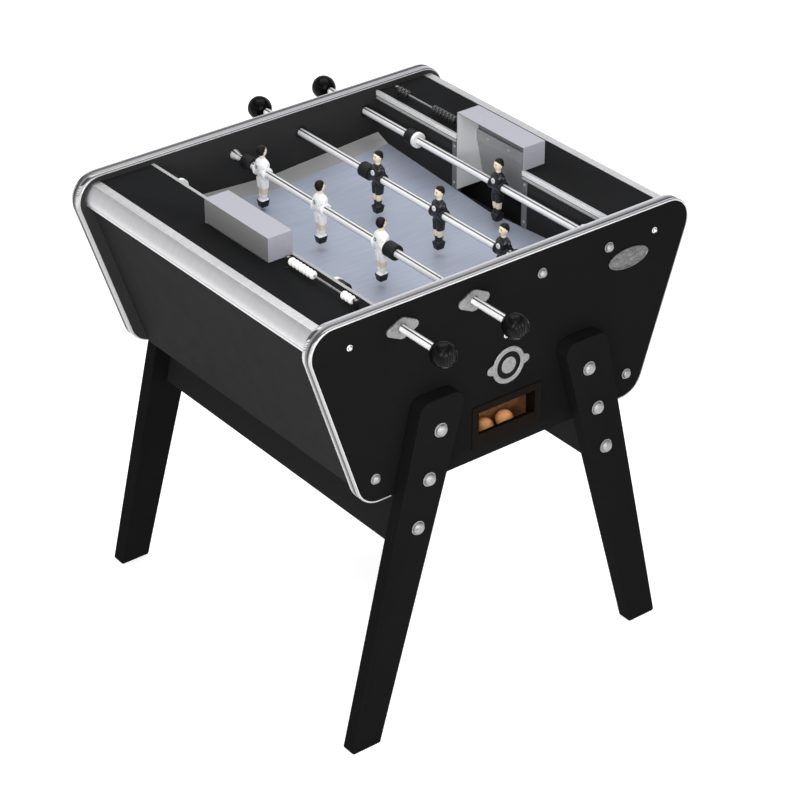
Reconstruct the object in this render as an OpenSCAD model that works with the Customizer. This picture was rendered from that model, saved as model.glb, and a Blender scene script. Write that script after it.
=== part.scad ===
// Two-player foosball table with telescopic rods, splayed legs and sheet-metal goal boxes.
// X runs from goal to goal, Y across the table from player to player, Z up.
// The origin is on the floor under the middle of the table.

/* [Cabinet] */
// Height of the trimmed top edge of the side panels above the floor
table_h = 900; // [880:1:920]
// Height of the cabinet's lower edge above the floor
cabinet_z = 511; // [500:1:520]
// Distance between the outer faces of the two side panels
cabinet_w = 750; // [740:2:780]
// Thickness of the side panels
panel_t = 24; // [20:1:26]
// Half length of the side panels at their sharp lower corner
panel_low_x = 323.6; // [320:0.2:330]
// Lean of the panel ends, outward for each millimetre of height
panel_lean = 0.3307; // [0.32:0.01:0.34]
// Radius of the upper panel corners
top_corner_r = 50; // [40:1:55]
// Radius of the lower panel corners
low_corner_r = 52; // [40:1:55]

/* [Playing area] */
// Half length of the playfield, from the middle to an end wall
field_x = 268; // [264:1:270]
// Height of the playfield in the middle
field_z = 758; // [750:1:760]
// Rise of the playfield from its middle to its corners
field_rise = 23; // [10:1:24]
// Half width of one goal mouth
goal_half = 97; // [85:1:100]
// Diameter of a ball
ball_d = 35; // [33:0.5:35]

/* [Rods] */
// Height of the rod axes above the floor
rod_z = 849.2; // [845:0.1:852]
// Spacing of neighbouring rods
rod_pitch = 158.5; // [156:0.5:160]
// Outer diameter of the sliding tube
tube_d = 16; // [15:0.5:16]
// Diameter of the fixed inner bar
bar_d = 12; // [10:0.5:12]
// Diameter of the ball knob
knob_d = 49.5; // [40:0.5:50]
// Spacing of the three men on an attack rod
man_pitch = 186; // [180:1:188]

/* [Legs] */
// Thickness of the leg boards
leg_t = 30.6; // [24:0.2:34]
// Height of the top of the legs
leg_top = 697; // [680:1:700]

/* [Hidden] */
$fn = 48;

panel_y = cabinet_w / 2;            // outer face of a side panel
inner_y = panel_y - panel_t;        // inner face of a side panel
trim_t = 2;                         // metal thickness of the edge trim
trim_lip = 3.6;                     // reach of the trim over the panel faces
trim_side = 1.2;                    // how far the trim stands off the panel faces
trim_end_x = 261;                   // where the trim stops on the lower edge
lip_end_x = 304;                    // where its inner lip stops, clear of the end boards
lean_len = sqrt(1 + panel_lean * panel_lean);

board_t = 18;                       // boards of decks, ends and aprons
end_inset = 27;                     // end board's face behind the side panel's edge
deck_top = 884.5;                   // upper face of the end decks
deck_low = deck_top - board_t;
deck_out_x = 396;                   // outer edge of a deck, under the corner rail
wall_t = 12;                        // end wall thickness
sheet_t = 1.5;                      // goal box sheet
flange_w = 14;                      // screwed flanges beside a goal mouth
box_top = 932;                      // top of the goal boxes
box_x = 319.5;                      // outer face of the goal boxes
back_fold_z = 864;                  // below this height a goal's back slopes outward
goal_low = 767.5;                   // lower edge of the goal box cheeks
flap_low_x = 338;                   // foot of the slanted goal back
ramp_in_y = 318;                    // inner edge of the side ramps
ramp_h = 13;                        // height of a ramp at the panel
field_under = 742;                  // flat underside of the playfield
floor_t = 8;                        // cabinet floor
trough_t = 4;                       // trough board
trough_z = cabinet_z + floor_t + trough_t;
trough_x = 90;                      // half length of the trough, inside
trough_back_y = -312;               // trough's back board, face to the balls
trough_back_h = 42;                 // its height over the trough's floor
ball_y = (-inner_y + trough_back_y) / 2;

leg_foot_out = 375.4;               // outer edge of a leg at the floor
leg_foot_in = 310;                  // inner edge of a leg at the floor
leg_lean_out = 0.2313;
leg_lean_in = 0.284;
apron_low = 391;                    // lower edge of the aprons
apron_high = 508;
apron_foot_x = 245.4;               // apron's outer face at its lower edge

rod_x = [-1.5, -0.5, 0.5, 1.5] * rod_pitch;
rod_push = [57, 73, 81.5, 61];      // how far each rod is pushed in from its middle
knob_rest_y = 491;                  // knob centres when pushed in like this
fit = 0.05;                         // radial clearance of a running fit
seat = 0.02;                        // radial clearance of a pushed-on piece
bush_d = 26;
bell_len = 15;                      // flared foot of an inner bar
attack_end = 243;                   // inner end of an attack tube, from the rod's middle
keeper_end = 273;                   // inner end of a keeper tube
bumper_d = 30.6;
bumper_len = 28;
man_half = 18;                      // half width of a man's shoulders
ring_t = 8.7;                       // white stop ring on a keeper rod
score_z = 900;                      // score wire height
bead_t = 10;
bead_d = 16;

window_low = 565;                   // upper edge of the thin lip in front of the balls
window_floor = 543;                 // lining behind that lip
window_lip_t = 8;                   // depth of the lip
window_high = 610;
window_left = -62;
window_right = 70;
window_rim = 15;                    // width of the frame above and beside the window
window_sill = 28;                   // height of the frame below the window

// ---------- shape helpers ----------

function unit(v) = v / norm(v);

// One rounded corner at p between neighbours a and b, as n + 1 points on its arc.
function corner_arc(a, p, b, r, n) =
    let (u = unit(a - p), v = unit(b - p),
         half = acos(max(-1, min(1, u * v))) / 2,
         c = p + unit(u + v) * r / sin(half),
         t1 = p + u * r / tan(half) - c,
         t2 = p + v * r / tan(half) - c,
         a1 = atan2(t1[1], t1[0]),
         turn = atan2(t1[0] * t2[1] - t1[1] * t2[0], t1 * t2))
    [for (k = [0:n]) c + r * [cos(a1 + turn * k / n), sin(a1 + turn * k / n)]];

// Polygon with a radius for each corner; radius 0 keeps the corner sharp.
function rounded(points, radii, n = 8) =
    let (m = len(points))
    [for (i = [0:m - 1]) each (
        radii[i] == 0 ? [points[i]]
        : corner_arc(points[(i + m - 1) % m], points[i], points[(i + 1) % m], radii[i], n))];

// Half length of the side panel's leaning edge at height z.
function panel_x(z) = panel_low_x + (z - cabinet_z) * panel_lean;

// Side panel outline in X and Z, pulled in by d on every side.
function panel_outline(d) =
    let (z0 = cabinet_z + d, z1 = table_h - d,
         x0 = panel_x(z0) - d * lean_len, x1 = panel_x(z1) - d * lean_len,
         r1 = top_corner_r - d, r0 = low_corner_r - d)
    rounded([[-x0, z0], [x0, z0], [x1, z1], [-x1, z1]], [r0, r0, r1, r1], 12);

// Extrudes an X-Z outline along Y, from y0 to y1.
module slab(y0, y1) {
    translate([0, y1, 0])
        rotate([90, 0, 0])
            linear_extrude(y1 - y0) children();
}

// Extrudes a Y-Z outline along X, from x0 to x1.
module cross_slab(x0, x1) {
    translate([x0, 0, 0])
        rotate([90, 0, 90])
            linear_extrude(x1 - x0) children();
}

// Round bar or bore along Y at x, z.
module y_cylinder(x, z, y0, y1, d) {
    translate([x, y0, z])
        rotate([-90, 0, 0])
            cylinder(h = y1 - y0, d = d);
}

// Copies children to the far side of the table, turned half round.
module far_copy() {
    rotate([0, 0, 180]) children();
}

module mirror_x() {
    mirror([1, 0, 0]) children();
}

// ---------- cabinet ----------

leg_bolts = [for (k = [0:2]) [173.6 + 25.2 * k, 632.1 - 93.5 * k]];

// Near side panel; the far one is the same board turned half round.
module side_panel() {
    slab(-panel_y, -inner_y)
        difference() {
            polygon(panel_outline(trim_t));
            for (i = [0:1]) translate([rod_x[i], rod_z]) circle(d = bush_d);
            for (i = [2:3]) translate([rod_x[i], rod_z]) circle(d = bar_d + 2 * seat);
            for (side = [-1, 1], p = leg_bolts) translate([side * p[0], p[1]]) circle(d = 10.1);
        }
}

module side_panel_near() {
    color("#1e1e1e")
        difference() {
            side_panel();
            translate([window_left - 3, -panel_y - 1, window_floor - 3])
                cube([window_right - window_left + 6, panel_t + 2, window_high - window_floor + 6]);
        }
}

module side_panel_far() {
    color("#1e1e1e") far_copy() side_panel();
}

// U-section metal trim round the panel edge, open between the legs.
module edge_trim() {
    difference() {
        union() {
            slab(-panel_y - trim_side, -inner_y + trim_side)
                difference() {
                    polygon(panel_outline(0));
                    polygon(panel_outline(trim_t));
                }
            for (y = [-panel_y - trim_side, -inner_y])
                slab(y, y + trim_side)
                    difference() {
                        polygon(panel_outline(0));
                        polygon(panel_outline(trim_lip));
                    }
        }
        translate([-trim_end_x, -panel_y - 5, cabinet_z - 5])
            cube([2 * trim_end_x, panel_t + 10, 30]);
        translate([-lip_end_x, -inner_y, cabinet_z - 5])
            cube([2 * lip_end_x, 5, trim_lip + 12]);
    }
}

module edge_trim_near() {
    color("silver") edge_trim();
}

module edge_trim_far() {
    color("silver") far_copy() edge_trim();
}

// Slanted end board between the side panels.
module end_panel() {
    out0 = panel_x(cabinet_z) - end_inset;
    out1 = panel_x(deck_low) - end_inset;
    t = board_t * lean_len;
    slab(-inner_y, inner_y)
        polygon([[out0 - t, cabinet_z], [out0, cabinet_z], [out1, deck_low], [out1 - t, deck_low]]);
}

module end_panel_right() {
    color("#373737") end_panel();
}

module end_panel_left() {
    color("#373737") mirror_x() end_panel();
}

// Horizontal end board, cut out for the goal box.
module end_deck() {
    difference() {
        translate([field_x, -inner_y, deck_low])
            cube([deck_out_x - field_x, 2 * inner_y, board_t]);
        translate([field_x - 1, -goal_half - 2, deck_low - 1])
            cube([box_x - field_x + 2, 2 * goal_half + 4, board_t + 2]);
    }
}

module end_deck_right() {
    color("#2f3032") end_deck();
}

module end_deck_left() {
    color("#2f3032") mirror_x() end_deck();
}

// Extruded metal profile over the outer deck edge.
module corner_rail() {
    face_x = panel_x(deck_low) - end_inset;
    low_z = 845;
    slab(-inner_y, inner_y)
        polygon([
            [384, deck_top + 0.1], [384, deck_top + 2], [399, deck_top + 2], [400.5, deck_top + 0.8],
            [402, deck_top + 1.2], [411, 876.5], [417, 868], [419, 860], [419, 853.5], [417.6, 852.3],
            [418.4, 851], [416.7, low_z], [panel_x(low_z) - end_inset + 0.2, low_z],
            [face_x + 0.2, deck_low + 0.2], [deck_out_x + 0.1, deck_low + 0.2],
            [deck_out_x + 0.1, deck_top + 0.1]
        ]);
}

module corner_rail_right() {
    color("#c4c4c2") corner_rail();
}

module corner_rail_left() {
    color("#c4c4c2") mirror_x() corner_rail();
}

// Slim profile on the inner deck edge, on both sides of a goal box.
module inner_rail() {
    for (side = [-1, 1])
        scale([1, side, 1])
            slab(goal_half + 2, inner_y)
                polygon([
                    [263.5, deck_top + 2], [269, deck_top + 2], [269, deck_top],
                    [field_x - 0.1, deck_top], [field_x - 0.1, 868], [262.5, 868], [262.5, 870.5],
                    [265.5, 871.3], [265.5, 875.5], [263.5, 876.3]
                ]);
}

module inner_rails() {
    color("#d6d6d4") inner_rail();
    color("#d6d6d4") mirror_x() inner_rail();
}

// End wall of the playing area with the goal mouth cut into its upper edge.
module end_wall() {
    mouth = goal_half + 2;
    cross_slab(field_x, field_x + wall_t)
        polygon([
            [-inner_y, 700], [inner_y, 700], [inner_y, deck_low], [mouth, deck_low], [mouth, field_z - 1],
            [-mouth, field_z - 1], [-mouth, deck_low], [-inner_y, deck_low]
        ]);
}

module end_wall_right() {
    color("#1c1c1c") end_wall();
}

module end_wall_left() {
    color("#1c1c1c") mirror_x() end_wall();
}

module bottom_board() {
    half = panel_x(cabinet_z) - end_inset - board_t * lean_len - 0.5;
    color("#2a2420")
        translate([-half, -inner_y, cabinet_z])
            cube([2 * half, 2 * inner_y, floor_t]);
}

// ---------- playing area ----------

// Height of the dished playfield: flat along the middle, rising to the four corners.
function field_height(x, y) =
    field_z + field_rise * (abs(y) / ramp_in_y) * (0.25 + 0.75 * abs(x) / field_x);

// Closed solid under a grid of heights; xs and ys are the grid lines.
module height_block(xs, ys, tops, under) {
    nx = len(xs);
    ny = len(ys);
    top = [for (i = [0:nx - 1], j = [0:ny - 1]) [xs[i], ys[j], tops[i][j]]];
    low = [for (i = [0:nx - 1], j = [0:ny - 1]) [xs[i], ys[j], under]];
    n = nx * ny;
    top_faces = [for (i = [0:nx - 2], j = [0:ny - 2]) each [
        [i * ny + j, i * ny + j + 1, (i + 1) * ny + j + 1],
        [i * ny + j, (i + 1) * ny + j + 1, (i + 1) * ny + j]
    ]];
    low_faces = [for (f = top_faces) [f[2] + n, f[1] + n, f[0] + n]];
    rim = concat(
        [for (j = [0:ny - 1]) j],
        [for (i = [1:nx - 1]) i * ny + ny - 1],
        [for (j = [ny - 2:-1:0]) (nx - 1) * ny + j],
        [for (i = [nx - 2:-1:1]) i * ny]);
    m = len(rim);
    side_faces = [for (k = [0:m - 1]) each [
        [rim[k], rim[k] + n, rim[(k + 1) % m] + n],
        [rim[k], rim[(k + 1) % m] + n, rim[(k + 1) % m]]
    ]];
    polyhedron(concat(top, low), concat(top_faces, low_faces, side_faces));
}

module playfield() {
    xs = [for (k = [-4:4]) field_x * k / 4];
    ys = [for (k = [-4:4]) ramp_in_y * k / 4];
    color("#9aa3b5")
        height_block(xs, ys, [for (x = xs) [for (y = ys) field_height(x, y)]], field_under);
}

// Sloping strips that roll a ball back from the long sides.
module side_ramps() {
    xs = [for (k = [-4:4]) field_x * k / 4];
    for (side = [-1, 1]) {
        ys = side > 0 ? [ramp_in_y, inner_y] : [-inner_y, -ramp_in_y];
        color("#8f8f8c")
            height_block(xs, ys,
                [for (x = xs) [for (y = ys)
                    field_height(x, ramp_in_y) + (abs(y) > ramp_in_y ? ramp_h : 0)]],
                field_under);
    }
}

// ---------- goals ----------

// X of the goal back at height z: upright above its fold, slanted below.
function flap_x(z) =
    box_x + max(0, back_fold_z - z) * (flap_low_x - box_x) / (back_fold_z - goal_low);

// Folded sheet cover: top, outer wall, two cheeks and two screwed flanges.
module goal_box() {
    front = field_x - 2;
    translate([front, -goal_half - sheet_t, box_top - sheet_t])
        cube([box_x - front, 2 * (goal_half + sheet_t), sheet_t]);
    translate([box_x - sheet_t, -goal_half - sheet_t, deck_top + 0.2])
        cube([sheet_t, 2 * (goal_half + sheet_t), box_top - deck_top - 1]);
    for (side = [-1, 1])
        scale([1, side, 1]) {
            slab(goal_half, goal_half + sheet_t)
                polygon([
                    [front, goal_low], [flap_x(goal_low), goal_low], [box_x, back_fold_z],
                    [box_x, box_top - 1], [front, box_top - 1]
                ]);
            translate([front, goal_half + 0.5, goal_low])
                cube([sheet_t, flange_w, 868 - goal_low]);
        }
}

module goal_box_right() {
    color("#a9aab4") goal_box();
}

module goal_box_left() {
    color("#a9aab4") mirror_x() goal_box();
}

flap_strip_x = 314;                 // face of the screwed strip at the top of a goal back

// Back plate hanging in a goal, with its screwed upper strip.
module goal_flap() {
    y = goal_half - 0.5;
    x = flap_strip_x;
    z0 = goal_low + 3;
    foot = flap_x(z0) - 2;
    slab(-y, y)
        polygon([
            [foot - sheet_t, z0], [foot, z0], [x + 2 * sheet_t, back_fold_z], [x + 2 * sheet_t, deck_top],
            [x, deck_top], [x, back_fold_z - 3], [x + sheet_t, back_fold_z - 3]
        ]);
}

module goal_flaps() {
    color("#5c5c5c") goal_flap();
    color("#5c5c5c") mirror_x() goal_flap();
}

// ---------- legs ----------

// Flat tapered leg board on the near side, to the right; others are copies.
module leg() {
    out1 = leg_foot_out - leg_lean_out * leg_top;
    in1 = leg_foot_in - leg_lean_in * leg_top;
    slab(-panel_y - leg_t, -panel_y)
        difference() {
            polygon(rounded([[leg_foot_in, 0], [leg_foot_out, 0], [out1, leg_top], [in1, leg_top]],
                            [5, 5, 24, 24]));
            for (p = leg_bolts) translate(p) circle(d = 10.1);
        }
}

module leg_near_right() {
    color("#1b1b1b") leg();
}

module leg_near_left() {
    color("#1b1b1b") mirror_x() leg();
}

module leg_far_left() {
    color("#1b1b1b") far_copy() leg();
}

module leg_far_right() {
    color("#1b1b1b") far_copy() mirror_x() leg();
}

// Boards that tie the near and the far leg of each end together.
module aprons() {
    top_x = apron_foot_x - leg_lean_out * (apron_high - apron_low);
    t = board_t * sqrt(1 + leg_lean_out * leg_lean_out);
    bolt = leg_bolts[2];
    for (side = [-1, 1])
        color("#222222")
            scale([side, 1, 1])
                difference() {
                    slab(-panel_y, panel_y)
                        polygon([
                            [apron_foot_x - t, apron_low], [apron_foot_x, apron_low],
                            [top_x, apron_high], [top_x - t, apron_high]
                        ]);
                    for (y = [-panel_y - 1, inner_y])
                        y_cylinder(bolt[0], bolt[1], y, y + panel_t + 1, 10.1);
                }
}

// ---------- ball return ----------

// Half width between the inner faces of the end boards at height z.
function inside_x(z) = panel_x(z) - end_inset - board_t * lean_len - 0.3;

// Sloping board under the playfield, with two fences that guide every ball to the trough.
module ball_return_board() {
    y_low = trough_back_y + 5;
    z_low = trough_z + trough_back_h;
    z_high = 650;
    fence_h = 24;
    fence_t = 8;
    slope = atan((z_high - z_low) / (inner_y - y_low));
    run = (inner_y - y_low) / cos(slope);
    half_low = inside_x(z_low);
    half_high = inside_x(z_high);
    color("#6b4a2c")
        translate([0, y_low, z_low])
            rotate([slope, 0, 0]) {
                linear_extrude(floor_t)
                    polygon([[-half_low, 0], [half_low, 0], [half_high, run], [-half_high, run]]);
                for (side = [-1, 1])
                    scale([side, 1, 1])
                        linear_extrude(floor_t + fence_h)
                            polygon([
                                [trough_x, 0], [trough_x + fence_t, 0],
                                [half_low - 2, 300], [half_low - 2 - fence_t, 300]
                            ]);
            }
}

// Open wooden channel behind the window, where the balls wait.
module ball_trough() {
    wall = 4;
    back = trough_back_y + 2 * wall;
    color("#5a3316") {
        cross_slab(-trough_x, trough_x)
            polygon([
                [-inner_y, trough_z - trough_t], [back, trough_z - trough_t],
                [back, trough_z + trough_back_h], [trough_back_y, trough_z + trough_back_h],
                [trough_back_y, trough_z], [-inner_y, trough_z]
            ]);
        for (x = [-trough_x - wall, trough_x])
            cross_slab(x, x + wall)
                polygon([
                    [-inner_y, trough_z - trough_t], [back, trough_z - trough_t],
                    [back, trough_z + trough_back_h], [trough_back_y, trough_z + trough_back_h],
                    [trough_back_y, window_high], [-inner_y, window_high]
                ]);
    }
}

// Frame that lines the window cut-out and laps over the panel's face, with a thin lip that
// keeps the balls in.
module ball_window_frame() {
    w = window_right - window_left;
    h = window_high - window_low;
    lining = 2.9;
    lined_h = window_high - window_floor;
    lap = 2;
    color("#191512")
        difference() {
            union() {
                translate([window_left - window_rim, -panel_y - lap, window_low - window_sill])
                    cube([w + 2 * window_rim, lap, h + window_rim + window_sill]);
                translate([window_left - lining, -panel_y - lap, window_floor - lining])
                    cube([w + 2 * lining, panel_t + lap, lined_h + 2 * lining]);
            }
            translate([window_left, -panel_y - 5, window_low])
                cube([w, panel_t + 10, h]);
            translate([window_left, -panel_y - lap + window_lip_t, window_floor])
                cube([w, panel_t + 10, lined_h]);
        }
}

ball_x = [-11, 36.4];

module ball_left() {
    color("#d9935f") translate([ball_x[0], ball_y, trough_z + ball_d / 2]) sphere(d = ball_d);
}

module ball_right() {
    color("#d9935f") translate([ball_x[1], ball_y, trough_z + ball_d / 2]) sphere(d = ball_d);
}

// ---------- plates and fasteners ----------

// Round plate with two ears and an oval plate, both on the near panel.
module badge_plates() {
    plate_t = 3;
    badge = [5, 687];
    oval = [286.5, 812];
    color("#b0b0ae")
        slab(-panel_y - plate_t, -panel_y)
            translate(badge) {
                circle(d = 74);
                for (side = [-1, 1])
                    hull() {
                        translate([side * 40.5, 0]) circle(d = 17);
                        translate([side * 21, 0]) circle(d = 30);
                    }
            }
    color("#8d8d8b")
        slab(-panel_y - plate_t, -panel_y)
            translate(oval)
                polygon([for (a = [0:7.5:359]) [47.8 * cos(a), 20.6 * sin(a)]]);
}

// Diamond-shaped cast plate that covers a bush.
module rod_flange(x) {
    plate = 5;
    slab(-panel_y - plate, -panel_y)
        translate([x, rod_z])
            difference() {
                polygon(rounded([[-46, 0], [0, -22.5], [46, 0], [0, 22.5]], [9, 16, 9, 16]));
                circle(d = tube_d + 1.2);
            }
}

module rod_flanges() {
    color("#9b9b98") for (i = [0:1]) rod_flange(rod_x[i]);
    color("#9b9b98") far_copy() for (i = [0:1]) rod_flange(rod_x[i]);
}

// Plastic sleeve in the panel that a rod slides and turns in.
module rod_bush(x) {
    difference() {
        y_cylinder(x, rod_z, -panel_y, -inner_y, bush_d - 2 * seat);
        y_cylinder(x, rod_z, -panel_y - 30, -inner_y + 30, tube_d + 2 * fit);
    }
}

module rod_bushes() {
    color("#151515") for (i = [0:1]) rod_bush(rod_x[i]);
    color("#151515") far_copy() for (i = [0:1]) rod_bush(rod_x[i]);
}

// Fixed bar that a tube telescopes over, with its flared foot on the inner panel face.
module inner_bar(x) {
    foot_r = 10.5;
    y_cylinder(x, rod_z, -panel_y, 300, bar_d);
    translate([x, -inner_y, rod_z])
        rotate([-90, 0, 0])
            rotate_extrude()
                polygon([
                    [0, 0], [foot_r, 0], [foot_r, 4], [foot_r - 1.6, 7], [foot_r - 2.8, 11],
                    [foot_r - 3.2, bell_len], [0, bell_len]
                ]);
}

module inner_bars() {
    color("gainsboro") for (i = [2:3]) inner_bar(rod_x[i]);
    color("gainsboro") far_copy() for (i = [2:3]) inner_bar(rod_x[i]);
}

// Low dome standing out of a near face at depth y.
module dome(x, z, y, d, h) {
    big_r = (d * d / 4 + h * h) / (2 * h);
    translate([x, y, z])
        rotate([90, 0, 0])
            intersection() {
                translate([0, 0, h - big_r]) sphere(r = big_r);
                cylinder(h = h + 1, d = d + 1);
            }
}

// Carriage bolts of the legs, cap nuts of the inner bars and lower panel bolts, one side.
module bolt_set() {
    for (side = [-1, 1], p = leg_bolts) {
        dome(side * p[0], p[1], -panel_y - leg_t, 28, 10);
        y_cylinder(side * p[0], p[1], -panel_y - leg_t - 0.5, -inner_y, 10);
    }
    for (i = [2:3]) dome(rod_x[i], rod_z, -panel_y, 20, 8);
    for (side = [-1, 1]) dome(side * 295.5, 562, -panel_y, 21, 8);
}

module domed_bolts() {
    color("#b9b9b7") bolt_set();
    color("#b9b9b7") far_copy() bolt_set();
}

// Small domed screws of the panels, the goal flanges and the goal backs.
module small_screws() {
    for (turn = [0, 180])
        color("#b9b9b7")
            rotate([0, 0, turn]) {
                for (p = [[-349, 848], [0, 750], [349, 848]]) dome(p[0], p[1], -panel_y, 12, 5.5);
                for (side = [-1, 1], z = [780, 858])
                    translate([field_x - 2, side * (goal_half + 8), z])
                        rotate([0, -90, 0]) cylinder(h = 1.2, d = 6);
                for (y = [-62, 0, 62])
                    translate([flap_strip_x, y, 874])
                        rotate([0, -90, 0]) cylinder(h = 1.2, d = 7);
            }
}

// ---------- score counters ----------

white_score = [-301, -330, -133];   // x, near post y, far post y
black_score = [283.5, 115, 308];

// Two posts and the wire between them.
module score_stand(s) {
    post_h = 21.5;
    for (y = [s[1], s[2]])
        translate([s[0], y, deck_top]) cylinder(h = post_h, d = 12);
    y_cylinder(s[0], score_z, s[1], s[2], 4);
}

module score_stands() {
    color("#181818") score_stand(white_score);
    color("#181818") score_stand(black_score);
}

// Row of n beads on a score wire, starting at y.
module beads(x, y, n) {
    for (k = [0:n - 1])
        difference() {
            y_cylinder(x, score_z, y + k * (bead_t + 0.2), y + k * (bead_t + 0.2) + bead_t, bead_d);
            y_cylinder(x, score_z, y - 50, y + 200, 4 + 2 * fit);
        }
}

bead_gap = 7;                       // post centre to the first bead
unscored = 7;
scored = 3;

function row_len(n) = n * (bead_t + 0.2) - 0.2;

module white_beads_unscored() {
    color("#efefec") beads(white_score[0], white_score[2] - bead_gap - row_len(unscored), unscored);
}

module white_beads_scored() {
    color("#efefec") beads(white_score[0], white_score[1] + bead_gap, scored);
}

module black_beads_unscored() {
    color("#1a1a1a") beads(black_score[0], black_score[1] + bead_gap, unscored);
}

module black_beads_scored() {
    color("#1a1a1a") beads(black_score[0], black_score[2] - bead_gap - row_len(scored), scored);
}

// ---------- rods ----------

// Puts a rod's pieces in place: knob at -Y for the white rods, at +Y for the black ones.
module on_rod(i) {
    turn = i < 2 ? 0 : 180;
    translate([rod_x[i], 0, rod_z])
        rotate([0, 0, turn])
            translate([0, rod_push[i], 0]) children();
}

// Ring or sleeve along Y, centred on the rod axis.
module sleeve(y0, y1, outer, inner) {
    difference() {
        y_cylinder(0, 0, y0, y1, outer);
        y_cylinder(0, 0, y0 - 1, y1 + 1, inner);
    }
}

// Nylon liner in the inner end of a tube.
module guide(end) {
    sleeve(end - 30, end - 0.5, tube_d - 2 - 2 * fit, bar_d + 2 * fit);
}

// Hollow tube from inside the knob to its open inner end.
module tube(i, end) {
    sleeve(-knob_rest_y - rod_push[i] + 4, end, tube_d, tube_d - 2);
}

// Bell-shaped knob: flattened dome outwards, narrowing to a neck on the tube.
module knob(i) {
    r = knob_d / 2;
    bore = tube_d / 2 + seat;
    translate([0, -knob_rest_y - rod_push[i], 0])
        rotate([-90, 0, 0])
            rotate_extrude()
                polygon([
                    [0, -20.5], [8, -20], [14, -18.3], [19, -15.2], [r - 2.2, -11], [r - 0.6, -6],
                    [r, -1], [r - 0.3, 4], [r - 1.5, 9], [r - 4, 14.5], [17, 19], [13.5, 22], [11, 23.5],
                    [bore, 23.5], [bore, 4], [0, 4]
                ]);
}

module attack_bumpers() {
    beside_man = -man_pitch - man_half - 0.5;
    sleeve(attack_end - bumper_len, attack_end, bumper_d, tube_d + 2 * seat);
    sleeve(beside_man - bumper_len, beside_man, bumper_d, tube_d + 2 * seat);
}

module keeper_bumpers() {
    for (side = [-1, 1])
        scale([1, side, 1])
            sleeve(keeper_end - 24, keeper_end, bumper_d, tube_d + 2 * seat);
}

// White nylon stop rings beside the keeper's bumpers.
module stop_rings() {
    for (side = [-1, 1])
        scale([1, side, 1])
            sleeve(keeper_end - 33, keeper_end - 33 + ring_t, bumper_d + 1, tube_d + 2 * fit);
}

// One player facing +X, with the rod axis at the origin.
module man() {
    difference() {
        union() {
            y_cylinder(0, 0, -17.5, 17.5, 25);
            cross_slab(-10, 10)
                polygon([[-13, -14], [13, -14], [14, 4], [man_half, 8], [man_half, 20], [12, 28],
                         [-12, 28], [-man_half, 20], [-man_half, 8], [-14, 4]]);
            translate([0, 0, 24]) cylinder(h = 12, d = 11);
            translate([0, 0, 43]) sphere(d = 23);
            cross_slab(-8.5, 8.5)
                polygon([[-12, -12], [-8, -60], [8, -60], [12, -12]]);
            cross_slab(-10, 11)
                polygon([[-9.5, -58], [-8.5, -74], [8.5, -74], [9.5, -58]]);
        }
        y_cylinder(0, 0, -20, 20, tube_d + 2 * seat);
    }
}

module three_men() {
    for (k = [-1:1]) translate([0, k * man_pitch, 0]) man();
}

module white_keeper_guide() {
    color("#f0f0f0") on_rod(0) {
        guide(keeper_end);
        stop_rings();
    }
}

module white_keeper_tube() {
    color("silver") on_rod(0) tube(0, keeper_end);
}

module white_keeper_knob() {
    color("#151515") on_rod(0) knob(0);
}

module white_keeper_bumpers() {
    color("#202020") on_rod(0) keeper_bumpers();
}

module white_keeper_man() {
    color("#e8e8e6") on_rod(0) man();
}

module white_attack_guide() {
    color("#f0f0f0") on_rod(1) guide(attack_end);
}

module white_attack_tube() {
    color("silver") on_rod(1) tube(1, attack_end);
}

module white_attack_knob() {
    color("#151515") on_rod(1) knob(1);
}

module white_attack_bumpers() {
    color("#202020") on_rod(1) attack_bumpers();
}

module white_attack_men() {
    color("#e8e8e6") on_rod(1) three_men();
}

module black_attack_guide() {
    color("#f0f0f0") on_rod(2) guide(attack_end);
}

module black_attack_tube() {
    color("silver") on_rod(2) tube(2, attack_end);
}

module black_attack_knob() {
    color("#151515") on_rod(2) knob(2);
}

module black_attack_bumpers() {
    color("#202020") on_rod(2) attack_bumpers();
}

module black_attack_men() {
    color("#25262b") on_rod(2) three_men();
}

module black_keeper_guide() {
    color("#f0f0f0") on_rod(3) {
        guide(keeper_end);
        stop_rings();
    }
}

module black_keeper_tube() {
    color("silver") on_rod(3) tube(3, keeper_end);
}

module black_keeper_knob() {
    color("#151515") on_rod(3) knob(3);
}

module black_keeper_bumpers() {
    color("#202020") on_rod(3) keeper_bumpers();
}

module black_keeper_man() {
    color("#25262b") on_rod(3) man();
}

// ---------- assembly ----------

side_panel_near();
side_panel_far();
edge_trim_near();
edge_trim_far();
end_panel_left();
end_panel_right();
end_deck_left();
end_deck_right();
corner_rail_left();
corner_rail_right();
inner_rails();
end_wall_left();
end_wall_right();
playfield();
side_ramps();
goal_box_left();
goal_box_right();
goal_flaps();
leg_near_left();
leg_near_right();
leg_far_left();
leg_far_right();
aprons();
bottom_board();
ball_return_board();
ball_trough();
ball_window_frame();
ball_left();
ball_right();
badge_plates();
rod_flanges();
rod_bushes();
inner_bars();
domed_bolts();
small_screws();
score_stands();
white_beads_unscored();
white_beads_scored();
black_beads_unscored();
black_beads_scored();
white_keeper_guide();
white_keeper_tube();
white_keeper_knob();
white_keeper_bumpers();
white_keeper_man();
white_attack_guide();
white_attack_tube();
white_attack_knob();
white_attack_bumpers();
white_attack_men();
black_attack_guide();
black_attack_tube();
black_attack_knob();
black_attack_bumpers();
black_attack_men();
black_keeper_guide();
black_keeper_tube();
black_keeper_knob();
black_keeper_bumpers();
black_keeper_man();
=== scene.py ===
"""Looks of the foosball table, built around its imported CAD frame. Metres, +X goal to goal, +Z up."""
import math

import bmesh
import bpy
from mathutils import Matrix, Vector


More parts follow.
